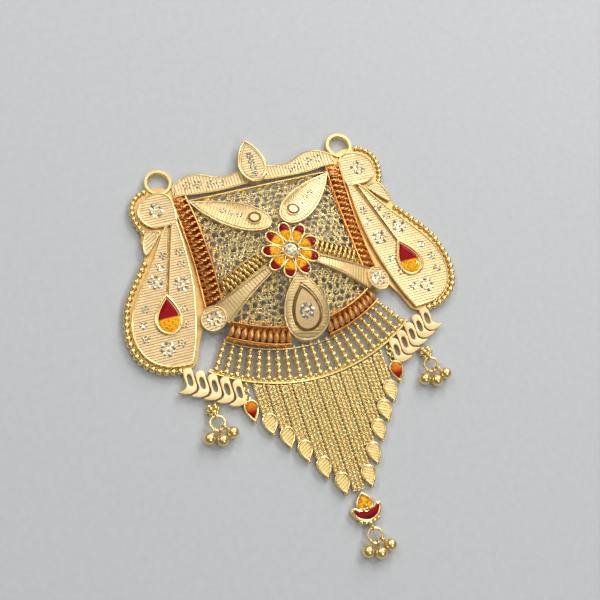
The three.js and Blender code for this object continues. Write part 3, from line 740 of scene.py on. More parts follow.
# %% Wing pieces
def wing_sheet():
    """The engraved sheet: pear, boss and half leaf."""
    bm = bmesh.new()
    for outline, degrees in ((PEAR, 90), (BOSS, 90), (LEAFLET, 60)):
        part = saw_sheet(outline, 0.6, SHEET_TOP, border=0.2)
        engrave(part, degrees, pitch=0.43, cut=0.15)
        absorb(bm, part)
    return bm


def wing_rims():
    """Bright wires along the edges of the sheet, the slit and the collet."""
    bm = bmesh.new()
    lay_wires(bm, [lift_points(line, SHEET_TOP) for line in (PEAR, BOSS, LEAFLET)], 0.16)
    lay_wires(bm, [lift_points(COLLET, SHEET_TOP + 0.15)], 0.2)
    absorb(bm, saw_sheet(COLLET, 0.9, SHEET_TOP + 0.1))
    return bm


def wing_granules():
    """The row of granules outside the rim wire."""
    bm = bmesh.new()
    set_stamps(bm, GRANULE, lift_points(even_points(EDGE_LINE, 1.06), GRANULE_LEVEL))
    set_stamps(bm, GRANULE, lift_points(even_points(BOSS_EDGE, 0.94), GRANULE_LEVEL), scale=0.9)
    return bm


def wing_sparkles():
    """Bright-cut flowers over the pear and the boss."""
    bm = bmesh.new()
    large = [Vector((x, y, SHEET_TOP)) for x, y in BIG_PLACES + [BOSS_MIDDLE]]
    set_stamps(bm, LARGE_SPARKLE, large, 0.4, 1.1)
    set_stamps(bm, SMALL_SPARKLE, [Vector((x, y, SHEET_TOP)) for x, y in SMALL_PLACES], 0.5, 1.15)
    return bm


def wing_enamel():
    """The drop of enamel in the collet."""
    return fill_cell(ENAMEL_CELL, 0.9, SHEET_TOP + 0.15, 0.2)


def bail_ring():
    """The band ring: a rounded band turned round an upright axis."""
    section = [(1.68, 0.15), (2.18, 0.15), (2.26, 0.3), (2.26, 0.95), (2.18, 1.1), (1.76, 1.1), (1.66, 0.95),
               (1.66, 0.3)]
    part = bmesh.new()
    face = part.faces.new([part.verts.new((r, 0, z)) for r, z in section])
    bmesh.ops.spin(
        part, geom=[*face.verts, *face.edges], cent=(0, 0, 0), axis=(0, 0, 1), angle=2 * math.pi, steps=40,
        use_merge=True,
    )
    bmesh.ops.delete(part, geom=[face], context="FACES_ONLY")
    bmesh.ops.remove_doubles(part, verts=part.verts, dist=1e-4)
    bmesh.ops.recalc_face_normals(part, faces=part.faces)
    bmesh.ops.translate(part, vec=BAIL_AT, verts=part.verts)
    return part


finish_pair(wing_sheet, "wing_sheet", SHEET_GOLD, ["wing"])
# The base's darker gold is painted shade between the rim and the granules.
finish_pair(lambda: saw_sheet(BASE, 0.0, 0.8), "wing_base", AMBER_GOLD)
finish_pair(wing_rims, "wing_rims", WIRE_GOLD)
finish_pair(wing_granules, "wing_granules", RICH_GOLD)
finish_pair(wing_sparkles, "wing_sparkles", CUT_GOLD, crease=5)
finish_pair(bail_ring, "bail_ring", RICH_GOLD)
WING_ENAMEL = axis_enamel("wing_enamel", -4.6, YELLOW, RED, 0.00012)
finish_pair(wing_enamel, "wing_enamel", WING_ENAMEL, ["teardrop_enamel"])

# %% [markdown]
# ## Crest
# A scalloped strip joins the two wings along the top. It is engraved upright, edged with wire, and
# carries four small bright-cut flowers a side. A pointed leaf with its own walls stands in its middle.
# Only the right half of the strip's edges is drawn; the left half is the same line mirrored.

# %% Crest
CREST_UPPER = smooth_line([(14.0, 16.5), (13.1, 17.1), (11.4, 17.9), (9.2, 17.9), (6.2, 16.75), (3.6, 16.7),
                           (1.6, 17.3)], 5)
CREST_LOWER = smooth_line([(1.6, 14.8), (7.4, 14.6), (12.8, 15.0), (14.0, 14.9)], 5)
CREST_PLACES = [(6.0, 15.7), (7.6, 15.9), (9.7, 16.3), (11.4, 16.5)]
LEAF_FACE = 1.9


def mirrored_points(points):
    """The same line on the other side, drawn backwards."""
    return [Vector((-p.x, p.y, p.z)) for p in reversed(points)]


def crest_sheet():
    """The engraved strip and the leaf that stands on it."""
    outline = CREST_UPPER + mirrored_points(CREST_UPPER) + mirrored_points(CREST_LOWER) + CREST_LOWER
    bm = saw_sheet(outline, 0.3, 1.15, border=0.2)
    engrave(bm, 0)
    leaf = drop((0, 22.0), (0, 14.4), 4.7, sharpness=0.7)
    face = drop((0, 21.4), (0, 14.75), 4.1, sharpness=0.7)
    absorb(bm, saw_sheet(leaf, 0.2, LEAF_FACE - 0.3))
    blade = saw_sheet(face, 1.0, LEAF_FACE - 0.05, border=0.12, groove=0.1)
    engrave(blade, 90, pitch=0.46)
    absorb(bm, blade)
    return bm


def crest_rims():
    """Wires along the strip's edges and the leaf."""
    bm = bmesh.new()
    edges = [CREST_UPPER, mirrored_points(CREST_UPPER), CREST_LOWER, mirrored_points(CREST_LOWER)]
    lay_wires(bm, [lift_points(line, 1.12) for line in edges], 0.15, closed=False)
    lay_wires(bm, [lift_points(drop((0, 21.75), (0, 14.6), 4.4, sharpness=0.7), LEAF_FACE - 0.12)], 0.17)
    return bm


def crest_sparkles():
    """Bright-cut flowers on the strip and down the leaf."""
    bm = bmesh.new()
    places = [Vector((side * x, y, 1.12)) for x, y in CREST_PLACES for side in (1, -1)]
    set_stamps(bm, SMALL_SPARKLE, places, 0.4, 1.35)
    column = [Vector((0, y, LEAF_FACE)) for y in (15.8, 16.9, 18.0, 19.1)]
    set_stamps(bm, SMALL_SPARKLE, column, 0.3, 0.95)
    return bm


finish_piece(crest_sheet(), "crest_sheet", SHEET_GOLD, ["crest"])
finish_piece(crest_rims(), "crest_rims", WIRE_GOLD)
finish_piece(crest_sparkles(), "crest_sparkles", CUT_GOLD, crease=5)

# %% [markdown]
# ## The domed panel
# Wire lace fills five fields between two leaves, two straps and a drop-shaped medallion, all raised on
# a low dome. Copper bands close the panel in at its sides and below. The values here say where each
# part lies, so that the bands, the lace and the walls all meet along the same lines.

# %% Places on the panel
FAN_Y = 9.6
COIL_INNER, COIL_OUTER = 21.1, 23.2
SIDE_INNER, SIDE_OUTER = 12.05, 14.7
SIDE_LOW, SIDE_HIGH = -4.3, 14.7
MEDALLION = drop((0, -3.9), (0, -13.7), 7.4, 60, 0.62)
MEDALLION_MIDDLE = drop((0, -6.3), (0, -12.1), 3.9, 48, 0.75)
LEAF_TIP, LEAF_TAIL = (12.0, 13.4), (1.1, 5.6)
EYE_LEAF = drop(LEAF_TIP, LEAF_TAIL, 4.9, 48, 0.9)
EYE = (3.3, 7.4)
CORNER = (13.5, -6.6)
STRAP_CORNERS = ((3.0, -2.1), (4.3, -1.4), (8.3, -2.9), (13.6, -4.7), (12.0, -8.0), (7.8, -5.0))
STRAP = [Vector((*p, 0)) for p in STRAP_CORNERS]
GOLD_COIL = ((4.5, 0.2), (11.3, -2.5))
RELIEF = 1.5
RELIEF_FOOT = 0.5
SIDE_BOW, SIDE_MIDDLE, SIDE_REACH = 0.45, 4.4, 9.6


def side_line(base, low=SIDE_LOW, high=SIDE_HIGH, steps=18):
    """A line down the panel's side, which bows in a little."""
    rows = [low + (high - low) * i / steps for i in range(steps + 1)]
    return [Vector((base - SIDE_BOW * (1 - ((y - SIDE_MIDDLE) / SIDE_REACH) ** 2), y, 0)) for y in rows]


def fan_arc(radius, start, end, steps=24):
    """An arc below the panel, struck from the fan's centre. Angles run from straight down."""
    return [polar(radius, -90 + start + (end - start) * i / steps, (0, FAN_Y)) for i in range(steps + 1)]


FIELD = (
    side_line(SIDE_INNER, -4.6, 13.3)
    + mirrored_points(side_line(SIDE_INNER, -4.6, 13.3))
    + fan_arc(COIL_INNER, -33, 33)
)


def is_inside(point, outline):
    """Whether a point lies in an outline, by counting the edges it passes."""
    odd = False
    for a, b in zip(outline, outline[1:] + outline[:1]):
        if (a.y > point.y) != (b.y > point.y):
            if point.x < (b.x - a.x) * (point.y - a.y) / (b.y - a.y) + a.x:
                odd = not odd
    return odd


def both_sides(outline):
    """An outline and its mirror image."""
    return [outline, mirrored_points(outline)]


print("lace field runs down to", round(min(p.y for p in FIELD), 2), "mm")

# %% [markdown]
# ## Lace
# Real lace of this kind is bent from fine wire, cell by cell, and no two cells are alike. It could be
# drawn as curves one by one, which takes long and never fits its field. Here it starts as a net of
# hexagons, welded at their corners and then shaken, and the wireframe operator turns its edges into
# wire. Curls inside some cells and grains on some crossings hide what is left of the regular net. The
# dice are seeded, so the lace is the same every time.

# %% Lace
LACE_PITCH = 1.25
LACE_LEVEL = 0.62
LACE_WIRE = 0.29
SHAKE = 0.24
CURL_SHARE, GRAIN_SHARE = 0.42, 0.3


def hex_net(dice):
    """Hexagons over the whole panel, welded at their corners and shaken."""
    radius = LACE_PITCH / math.sqrt(3)
    net = bmesh.new()
    for row in range(-18, 18):
        for column in range(-13, 14):
            x = (column + (0.5 if row % 2 else 0)) * LACE_PITCH
            y = row * LACE_PITCH * math.sqrt(0.75)
            if is_inside(Vector((x, y)), FIELD):
                turn = Matrix.Translation((x, y, 0)) @ Matrix.Rotation(math.pi / 6, 4, "Z")
                bmesh.ops.create_circle(net, cap_ends=True, segments=6, radius=radius, matrix=turn)
    bmesh.ops.remove_doubles(net, verts=net.verts, dist=0.05)
    for vert in net.verts:
        vert.co += Vector((dice.uniform(-SHAKE, SHAKE), dice.uniform(-SHAKE, SHAKE), 0))
    return net


def lace():
    """The lace fields: wire net, curls in some cells and grains on some crossings."""
    dice = random.Random(7)
    net = hex_net(dice)
    covered = [outline for shape in (EYE_LEAF, STRAP) for outline in both_sides(shape)] + [MEDALLION]
    hidden = [f for f in net.faces if any(is_inside(f.calc_center_median(), o) for o in covered)]
    bmesh.ops.delete(net, geom=hidden, context="FACES")
    cells = [f.calc_center_median() for f in net.faces]
    crossings = [v.co.copy() for v in net.verts]
    bmesh.ops.wireframe(
        net, faces=net.faces, thickness=LACE_WIRE, use_replace=True, use_even_offset=True, use_boundary=True,
    )
    bmesh.ops.translate(net, vec=(0, 0, LACE_LEVEL), verts=net.verts)
    curl = ring_stamp(0.3, 0.09, 10, 5)
    grain = ball_stamp(0.17, 8, 5)
    for cell in cells:
        if dice.random() < CURL_SHARE:
            shift = Vector((dice.uniform(-0.12, 0.12), dice.uniform(-0.12, 0.12), LACE_LEVEL + 0.06))
            stamp(net, curl, Matrix.Translation(cell + shift) @ Matrix.Scale(dice.uniform(0.8, 1.15), 4))
    for crossing in crossings:
        if dice.random() < GRAIN_SHARE:
            stamp(net, grain, Matrix.Translation(crossing + Vector((0, 0, LACE_LEVEL + 0.12))))
    raise_onto_dome(net)
    return net


finish_piece(lace(), "lace", LACE_GOLD, ["dome_panel"])

# %% [markdown]
# ## Leaves, straps and medallion
# These are sheet soldered over the lace: two leaves with an eye each, two straps that run out to round
# ends, and a drop-shaped medallion with a sunk ring round its middle. They are sawn, engraved, sliced
# across and lifted onto the dome. A strap's round end lies where the dome falls away to the wing, so it
# is made flat and then leaned like a coin, which keeps it round and true.

# %% Leaves, straps and medallion
SLICE, FINE_SLICE = 1.2, 0.9


def eye_leaf():
    """One engraved leaf with an eye turned into its round end."""
    bm = saw_sheet(EYE_LEAF, RELIEF_FOOT, RELIEF, border=0.16, groove=0.1)
    axis = math.degrees(math.atan2(LEAF_TIP[1] - LEAF_TAIL[1], LEAF_TIP[0] - LEAF_TAIL[0]))
    engrave(bm, axis)
    cross_slice(bm, axis + 90, SLICE)
    eye = turned_part([(0, 0.26), (0.68, 0.26), (0.73, 0.0), (1.04, 0.0), (1.08, 0.2), (1.16, 0.2),
                       (1.2, -0.2), (0, -0.2)], 36)
    bmesh.ops.translate(eye, vec=(*EYE, RELIEF), verts=eye.verts)
    absorb(bm, eye)
    raise_onto_dome(bm)
    return bm


def eye_shade():
    """A dark disc, painted shade, that shows in the ring sunk round the eye."""
    bm = turned_part([(0, 0.13), (1.05, 0.13), (1.05, -0.1), (0, -0.1)], 36)
    bmesh.ops.translate(bm, vec=(*EYE, RELIEF), verts=bm.verts)
    raise_onto_dome(bm)
    return bm


END_RADIUS = 2.0
END_OUTLINE = [polar(END_RADIUS, 10 * i) for i in range(36)]
END_RIM = [polar(END_RADIUS - 0.05, 10 * i) for i in range(36)]


def end_pose():
    """How a strap's round end sits: like a coin that leans from the dome down to the wing."""
    high, low = (dome_height(CORNER[0] + side * END_RADIUS, CORNER[1]) for side in (-1, 1))
    lean = math.atan2(high - low, 2 * END_RADIUS)
    return Matrix.Translation((*CORNER, (high + low) / 2)) @ Matrix.Rotation(lean, 4, "Y")


def end_sparkle():
    """The bright-cut flower on a strap's round end."""
    bm = bmesh.new()
    stamp(bm, LARGE_SPARKLE, end_pose() @ Matrix.Translation((0, 0, RELIEF + 0.1)) @ Matrix.Scale(1.1, 4))
    return bm


def strap():
    """The engraved strap that widens to the lower corner, with its round end."""
    bm = saw_sheet(STRAP, RELIEF_FOOT, RELIEF - 0.05, border=0.14, groove=0.08)
    engrave(bm, -22)
    cross_slice(bm, 68, SLICE)
    ends = [STRAP[1], STRAP[2], STRAP[3]], [STRAP[0], STRAP[5], STRAP[4]]
    lay_wires(bm, [lift_points(smooth_line(line, 6), RELIEF) for line in ends], 0.11, closed=False)
    raise_onto_dome(bm)
    disc = saw_sheet(END_OUTLINE, RELIEF_FOOT, RELIEF + 0.1, border=0.14)
    engrave(disc, 90)
    lay_wires(disc, [lift_points(END_RIM, RELIEF + 0.1)], 0.13)
    bmesh.ops.transform(disc, matrix=end_pose(), verts=disc.verts)
    absorb(bm, disc)
    return bm


def medallion():
    """The drop-shaped medallion: a fluted band round a sunk floor."""
    bm = saw_sheet(MEDALLION, RELIEF_FOOT, RELIEF + 0.1, border=0.14, groove=0.08)
    floor = tagged(bm, FLUTED)[0][0]
    bmesh.ops.inset_region(bm, faces=[floor], thickness=0.85, use_even_offset=True)
    floor.material_index = PLAIN
    engrave(bm, 78, pitch=0.44, depth=0.15)
    cross_slice(bm, -12, SLICE)
    bmesh.ops.inset_region(bm, faces=[floor], thickness=0.05, depth=-0.3)
    raise_onto_dome(bm)
    return bm


def medallion_shade():
    """Painted shade: a dark sheet on the medallion's floor, seen as a dark line round its middle."""
    bm = saw_sheet(drop((0, -5.7), (0, -12.6), 4.7, 48, 0.75), RELIEF - 0.3, RELIEF - 0.1)
    cross_slice(bm, 90, FINE_SLICE)
    raise_onto_dome(bm)
    return bm


def medallion_middle():
    """The frosted drop that stands in the medallion's floor."""
    bm = saw_sheet(MEDALLION_MIDDLE, RELIEF - 0.3, RELIEF + 0.08)
    cross_slice(bm, 90, FINE_SLICE)
    raise_onto_dome(bm)
    return bm


WALL_LEVELS = (0.4, 0.62, 0.84, 1.06, 1.28)
WALL_INSET = 0.12


def stack_wires(bm, lines):
    """A thin wall, built up from wires soldered one on another."""
    for level in WALL_LEVELS:
        lay_wires(bm, [lift_points(line, level) for line in lines], 0.13, closed=False)
    raise_onto_dome(bm)


def panel_walls():
    """The walls beside the gold coils, and the strip along the top edge."""
    bm = bmesh.new()
    slope = Vector((GOLD_COIL[1][0] - GOLD_COIL[0][0], GOLD_COIL[1][1] - GOLD_COIL[0][1], 0))
    across = Vector((-slope.y, slope.x, 0)).normalized()
    flanks = [[Vector((*GOLD_COIL[0], 0)) + across * d + slope * t for t in (0, 0.25, 0.5, 0.75, 1)]
              for d in (1.25, -1.25)]
    lines = [line for flank in flanks for line in both_sides(flank)]
    stack_wires(bm, lines + [[Vector((x, 13.7, 0)) for x in range(-12, 13, 2)]])
    return bm


def band_walls():
    """The copper walls of the side band and the lower band."""
    bm = bmesh.new()
    rows = [side_line(base) for base in (SIDE_OUTER - WALL_INSET, SIDE_INNER + WALL_INSET)]
    arcs = [fan_arc(radius, 8, 33.5, 14) for radius in (COIL_INNER - WALL_INSET, COIL_OUTER + WALL_INSET)]
    stack_wires(bm, rows + arcs)
    return bm


def panel_sparkles():
    """Bright-cut flowers on the leaves, the round ends and the medallion."""
    bm = bmesh.new()
    for side in (1, -1):
        places = [Vector((side * x, y, RELIEF)) for x, y in ((5.3, 8.7), (6.4, 9.5), (7.5, 10.3))]
        set_stamps(bm, SMALL_SPARKLE, places, 0.4, 0.85)
    set_stamps(bm, LARGE_SPARKLE, [Vector((0, -9.6, RELIEF + 0.08))], 0, 1.05)
    raise_onto_dome(bm)
    return bm


finish_pair(eye_leaf, "eye_leaf", PANEL_GOLD)
finish_pair(eye_shade, "eye_shade", PAINTED_SHADE_GOLD)
finish_pair(strap, "strap", PANEL_GOLD)
finish_pair(end_sparkle, "end_sparkle", CUT_GOLD, crease=5)
finish_piece(medallion(), "medallion", PANEL_GOLD)
finish_piece(medallion_shade(), "medallion_shade", PAINTED_SHADE_GOLD)
finish_piece(medallion_middle(), "medallion_middle", TAN_GOLD)
finish_piece(panel_walls(), "panel_walls", WIRE_GOLD)
finish_piece(panel_sparkles(), "panel_sparkles", CUT_GOLD, crease=5)

# %% [markdown]
# ## Twisted bands
# Wire wound into a flat coil lies in each channel. It is two thin wires twisted together, so each turn
# is a small roped loop with a dark gap after it. The side bands are tinted copper, the upper ones gold.
# The lower bands are rows of small upright drops instead. A strip of dark metal lies under each band as
# painted shade, because the gaps between its turns are seen against the channel's unlit ground.

# %% Coils
TWISTS, TURN_STEPS = 3, 32
STRAND_SHIFT = 0.7


def wind_coil(route, turns, half_width, half_height, level, wire):
    """A pair of wires, twisted together and wound round a route, flattened to the channel's width."""
    bm = bmesh.new()
    lengths = [(b - a).length for a, b in zip(route, route[1:])]
    total = sum(lengths)

    def place(distance):
        walked = 0.0
        for a, b, length in zip(route, route[1:], lengths):
            if walked + length >= distance or b is route[-1]:
                share = min(max((distance - walked) / length, 0), 1)
                return a.lerp(b, share), (b - a).normalized()
            walked += length

    lines = []
    for strand in (0, math.pi):
        line = []
        for i in range(turns * TURN_STEPS + 1):
            angle = 2 * math.pi * i / TURN_STEPS
            twist = strand + TWISTS * angle
            distance = total * i / (turns * TURN_STEPS) + STRAND_SHIFT * wire * math.cos(twist)
            spot, along = place(min(max(distance, 0), total))
            across = Vector((along.y, -along.x, 0))
            swing = STRAND_SHIFT * wire * math.sin(twist)
            point = spot + across * (half_width + swing) * math.cos(angle)
            point.z = level + (half_height + swing) * math.sin(angle)
            line.append(point)
        lines.append(line)
    lay_wires(bm, lines, wire, closed=False, sides=1)
    raise_onto_dome(bm)
    return bm


def band_floor(inner, outer):
    """The thin strip that a coil lies on."""
    return saw_sheet(inner + list(reversed(outer)), 0.45, 0.6)


def side_band():
    """The copper coil down one side."""
    route = side_line((SIDE_INNER + SIDE_OUTER) / 2, SIDE_LOW + 0.4, SIDE_HIGH - 0.1)
    return wind_coil(route, turns=17, half_width=0.88, half_height=0.42, level=1.12, wire=0.19)


def copper_floors():
    """The strips under the side band and the lower band, in dark copper that is painted shade."""
    bm = band_floor(side_line(SIDE_INNER + 0.1), side_line(SIDE_OUTER - 0.1))
    absorb(bm, band_floor(fan_arc(COIL_INNER, 8, 33, 14), fan_arc(COIL_OUTER, 8, 33, 14)))
    raise_onto_dome(bm)
    return bm


def upper_route(shift=0.0):
    """The middle line of a gold coil, or a line to one side of it."""
    start, end = Vector((*GOLD_COIL[0], 0)), Vector((*GOLD_COIL[1], 0))
    across = Vector((start.y - end.y, end.x - start.x, 0)).normalized()
    return [start.lerp(end, i / 8) + across * shift for i in range(9)]


def upper_band():
    """The gold coil between flower and side band."""
    return wind_coil(upper_route(), turns=9, half_width=0.96, half_height=0.45, level=1.16, wire=0.2)


def upper_floor():
    """The strip under the gold coil, in dark gold that is painted shade."""
    bm = band_floor(upper_route(-1.1), upper_route(1.1))
    raise_onto_dome(bm)
    return bm


DROPS, DROP_START, DROP_STEP = 10, -81.0, 2.6


def lower_band():
    """Between two arcs, a row of upright drops, each with its point towards the panel."""
    bm = bmesh.new()
    for i in range(DROPS):
        degrees = DROP_START + DROP_STEP * i
        tip = polar(COIL_INNER + 0.1, degrees, (0, FAN_Y))
        tail = polar(COIL_OUTER - 0.1, degrees, (0, FAN_Y))
        absorb(bm, fill_cell(drop(tip.xy, tail.xy, 0.98, 20, 1.2), 0.9, 1.25, 0.45))
    raise_onto_dome(bm)
    return bm


finish_pair(copper_floors, "copper_floors", PAINTED_SHADE_COPPER)
finish_pair(upper_floor, "upper_floor", PAINTED_SHADE_GOLD)
finish_pair(band_walls, "band_walls", COPPER)
finish_pair(side_band, "side_band", COPPER, ["side_coil"], crease=80)
finish_pair(upper_band, "upper_band", COIL_GOLD, ["upper_coil"], crease=80)
finish_pair(lower_band, "lower_band", DROP_COPPER, ["lower_coil"])

# %% [markdown]
# ## Flower
# Nine petals of enamel, yellow at the heart and red at the tips, sit in thin gold cells round a clear
# stone in a turned collet. Each cell is a sawn petal with a wire along its edge, and each filling is a
# slightly smaller petal, domed. The stone's facets are real flat faces, marked sharp, because a smooth
# shaded ball would never sparkle like a cut stone.

# %% Flower
PETALS = 9
PETAL_REACH, PETAL_HEART, PETAL_WIDTH = 4.66, 1.3, 1.95
FLOWER_LEVEL = 6.08


def petal(degrees, shrink=0.0):
    """One petal's outline, its round end outward."""
    tip = polar(PETAL_HEART + shrink, degrees)
    tail = polar(PETAL_REACH - shrink, degrees)
    return drop(tip.xy, tail.xy, PETAL_WIDTH - 2 * shrink, 28, 0.45)


PETAL_ANGLES = [90 + 360 * i / PETALS for i in range(PETALS)]


def flower_cells():
    """Petal backs with a wire wall round each, and the collet of the stone."""
    bm = bmesh.new()
    for degrees in PETAL_ANGLES:
        absorb(bm, saw_sheet(petal(degrees), FLOWER_LEVEL, FLOWER_LEVEL + 0.4))
    lay_wires(bm, [lift_points(petal(d, 0.05), FLOWER_LEVEL + 0.55) for d in PETAL_ANGLES], 0.13)
    collet = turned_part([(0, -0.03), (1.7, -0.03), (1.62, 0.45), (1.42, 0.85), (1.28, 0.92), (1.16, 0.86),
                          (1.12, 0.5), (0, 0.3)], 36)
    bmesh.ops.translate(collet, vec=(0, 0, FLOWER_LEVEL), verts=collet.verts)
    absorb(bm, collet)
    claws = [polar(1.3, 45 * i) + Vector((0, 0, FLOWER_LEVEL + 0.84)) for i in range(8)]
    set_stamps(bm, ball_stamp(0.16, 8, 6), claws)
    return bm


STONE_RINGS = ((1.06, 0.0, 0), (1.06, 0.08, 0), (0.86, 0.27, 22.5), (0.6, 0.38, 0), (0.3, 0.42, 22.5))


def stone():
    """A round brilliant: a fan of facets from girdle to table, each left flat."""
    part = bmesh.new()
    rings = []
    for radius, height, turn in STONE_RINGS:
        corners = [polar(radius, 45 * i + turn) + Vector((0, 0, height)) for i in range(8)]
        rings.append([part.verts.new(corner) for corner in corners])
    for ring in rings:
        for a, b in zip(ring, ring[1:] + ring[:1]):
            part.edges.new((a, b))
    for low, high in zip(rings, rings[1:]):
        edges = [e for e in part.edges if all(v in low for v in e.verts) or all(v in high for v in e.verts)]
        bmesh.ops.bridge_loops(part, edges=edges)
    bmesh.ops.holes_fill(part, edges=part.edges)
    bmesh.ops.triangulate(part, faces=[f for f in part.faces if len(f.verts) == 4])
    bmesh.ops.recalc_face_normals(part, faces=part.faces)
    bmesh.ops.translate(part, vec=(0, 0, FLOWER_LEVEL + 0.68), verts=part.verts)
    return part


finish_piece(flower_cells(), "flower_cells", WIRE_GOLD, ["flower_setting"])
PETAL_ENAMEL = petal_enamel()
for number, degrees in enumerate(PETAL_ANGLES, 1):
    filling = fill_cell(petal(degrees, 0.2), FLOWER_LEVEL + 0.38, FLOWER_LEVEL + 0.5, 0.2)
    finish_piece(filling, f"petal_{number}", PETAL_ENAMEL, [f"petal_enamel_{number}"])
finish_piece(stone(), "stone", clear_stone(), ["centre_stone"], crease=5)

# %% [markdown]
# ## Lattice and rail
# Below the dome, columns of granules fan out from one centre to a rail. A thin wire runs through each
# column, as the real granules need something to be soldered to. The rail is a flat strip with a wire
# along each edge. Everything here is placed by radius and angle from the fan's centre, so the columns
# stay square to the rail.

# %% Lattice
COLUMNS, COLUMN_STEP, ROWS = 21, 3.35, 5
LATTICE_INNER, LATTICE_OUTER = 23.75, 28.8
LATTICE_LEVEL = 0.75
RAIL_INNER, RAIL_OUTER, RAIL_SPREAD, RAIL_STEPS = 28.75, 29.3, 35.5, 60


def lattice():
    """Columns of touching granules on thin wire, with small grains between them at the rail."""
    bm = bmesh.new()
    bead, foot = ball_stamp(0.54), ball_stamp(0.36, 10, 7)
    wires = []
    half = (COLUMNS - 1) / 2
    pitch = (LATTICE_OUTER - LATTICE_INNER + 0.2) / ROWS
    for i in range(COLUMNS):
        degrees = (i - half) * COLUMN_STEP
        for k in range(ROWS):
            radius = LATTICE_INNER + (k + 0.45) * pitch
            spot = fan_arc(radius, degrees, degrees, 1)[0] + Vector((0, 0, LATTICE_LEVEL))
            stamp(bm, bead, Matrix.Translation(spot) @ Matrix.Scale(0.8 if k == 0 else 1.0, 4))
        reach = (LATTICE_INNER - 0.4, LATTICE_OUTER + 0.2)
        ends = [fan_arc(radius, degrees, degrees, 1)[0] for radius in reach]
        wires.append(lift_points(ends, LATTICE_LEVEL))
        if i:
            between = degrees - COLUMN_STEP / 2
            spot = fan_arc(LATTICE_OUTER - 0.15, between, between, 1)[0] + Vector((0, 0, LATTICE_LEVEL))
            stamp(bm, foot, Matrix.Translation(spot))
    lay_wires(bm, wires, 0.2, closed=False, sides=1)
    return bm


def rail():
    """The rail: a flat strip on edge with a thin wire on each side, and the wire above the columns."""
    bm = bmesh.new()
    inner = fan_arc(RAIL_INNER, -RAIL_SPREAD, RAIL_SPREAD, RAIL_STEPS)
    outer = fan_arc(RAIL_OUTER, -RAIL_SPREAD, RAIL_SPREAD, RAIL_STEPS)
    absorb(bm, saw_sheet(outer + list(reversed(inner)), 0.0, 0.7))
    lines = [lift_points(fan_arc(radius, -35.4, 35.4, RAIL_STEPS), 0.78) for radius in (28.85, 29.2)]
    lines.append(lift_points(fan_arc(23.7, -34, 34, RAIL_STEPS), LATTICE_LEVEL))
    lay_wires(bm, lines, 0.11, closed=False)
    return bm


finish_piece(lattice(), "lattice", RICH_GOLD, ["bead_lattice"])
finish_piece(rail(), "rail", RICH_GOLD)

# %% [markdown]
# ## Slats
# Five flat blades lie side by side beyond each end of the rail, each with a slot through it and a
# hooked foot. An outline with a hole isn't one face, so its edges are filled with triangles and the
# needless ones dissolved. Their upper edges are bevelled, because polishing rounds them and they then
# carry the bright line that sets each blade off from the next. Each blade leans a little, like tiles.

# %% Slats
SLATS, SLAT_TILT, SLAT_LEVEL, SLAT_THICKNESS = 5, 5, 0.26, 0.72
SLAT_AT, SLAT_STEP = Vector((20.2, -14.8, 0)), Vector((-1.7, -0.95, 0))
BLADE = smooth_line([(-0.8, 1.75), (-0.1, 2.1), (0.62, 1.7), (0.75, 0.5), (0.72, -0.6), (1.25, -1.2),
                     (2.15, -1.42), (1.5, -1.85), (0.4, -2.05), (-0.5, -1.75), (-0.85, -0.9), (-0.8, 0.6)],
                    4, closed=True)
SLOT = smooth_line([(-0.36, 0.7), (0.05, 0.98), (0.32, 0.5), (0.3, -0.6), (-0.05, -0.95), (-0.36, -0.5)], 4,
                   closed=True)


def slat(shift):
    """One blade, sawn with its slot, then softened along its upper edges."""
    part = bmesh.new()
    for outline in (BLADE, SLOT):
        verts = [part.verts.new(p + shift) for p in outline]
        for a, b in zip(verts, verts[1:] + verts[:1]):
            part.edges.new((a, b))
    bmesh.ops.triangle_fill(part, use_beauty=True, edges=part.edges)
    bmesh.ops.dissolve_limit(part, angle_limit=0.01, verts=part.verts, edges=part.edges)
    grown = bmesh.ops.extrude_face_region(part, geom=list(part.faces), use_keep_orig=True)["geom"]
    top = [item for item in grown if isinstance(item, bmesh.types.BMVert)]
    bmesh.ops.translate(part, vec=(0, 0, SLAT_THICKNESS), verts=top)
    bmesh.ops.recalc_face_normals(part, faces=part.faces)
    rim = [e for e in part.edges if all(v.co.z > shift.z + 0.5 for v in e.verts)
           and any(abs(f.normal.z) < 0.5 for f in e.link_faces)]
    bmesh.ops.bevel(
        part, geom=rim, offset=0.2, segments=3, profile=0.5, affect="EDGES", material=-1,
        clamp_overlap=True,
    )
    return part


def slats():
    """The five blades of one side."""
    bm = bmesh.new()
    lean = Matrix.Rotation(math.radians(-SLAT_TILT), 3, "Y")
    for i in range(SLATS):
        spot = SLAT_AT + SLAT_STEP * i + Vector((0, 0, SLAT_LEVEL))
        blade = slat(spot)
        bmesh.ops.rotate(blade, cent=spot, matrix=lean, verts=blade.verts)
        absorb(bm, blade)
    return bm


finish_pair(slats, "slat_row", SATIN_GOLD, ["slats"], crease=50)

# %% [markdown]
# ## Chain fringe
# Eleven strands of fine woven chain hang side by side from the rail, three columns of links each. The
# outer ones are shorter, so the fringe tapers to a point. A link is a small ring with its upper end
# tucked down under the link before it, and rolled one way and then the other, as links lie in a real
# woven chain. There are well over a thousand, so each has only a few dozen faces. Thin gold strips lie
# behind them, so that the gaps between links show gold and not the table.

# %% Chain
STRANDS_ASIDE = 5
STRAND_PITCH = 2.0
STRAND_ENDS = [-38.0, -34.8, -31.7, -28.5, -25.8, -23.1]
LINK_PITCH, LINK_LEVEL = 0.62, 0.66
LINK_ROLL, LINK_TUCK = 16, 30
COLUMN_GAP = 0.65
FRINGE_RADIUS = 29.45


def rail_edge(x):
    """How far down the rail's outer edge is at this distance from the middle."""
    return FAN_Y - math.sqrt(FRINGE_RADIUS ** 2 - x * x)


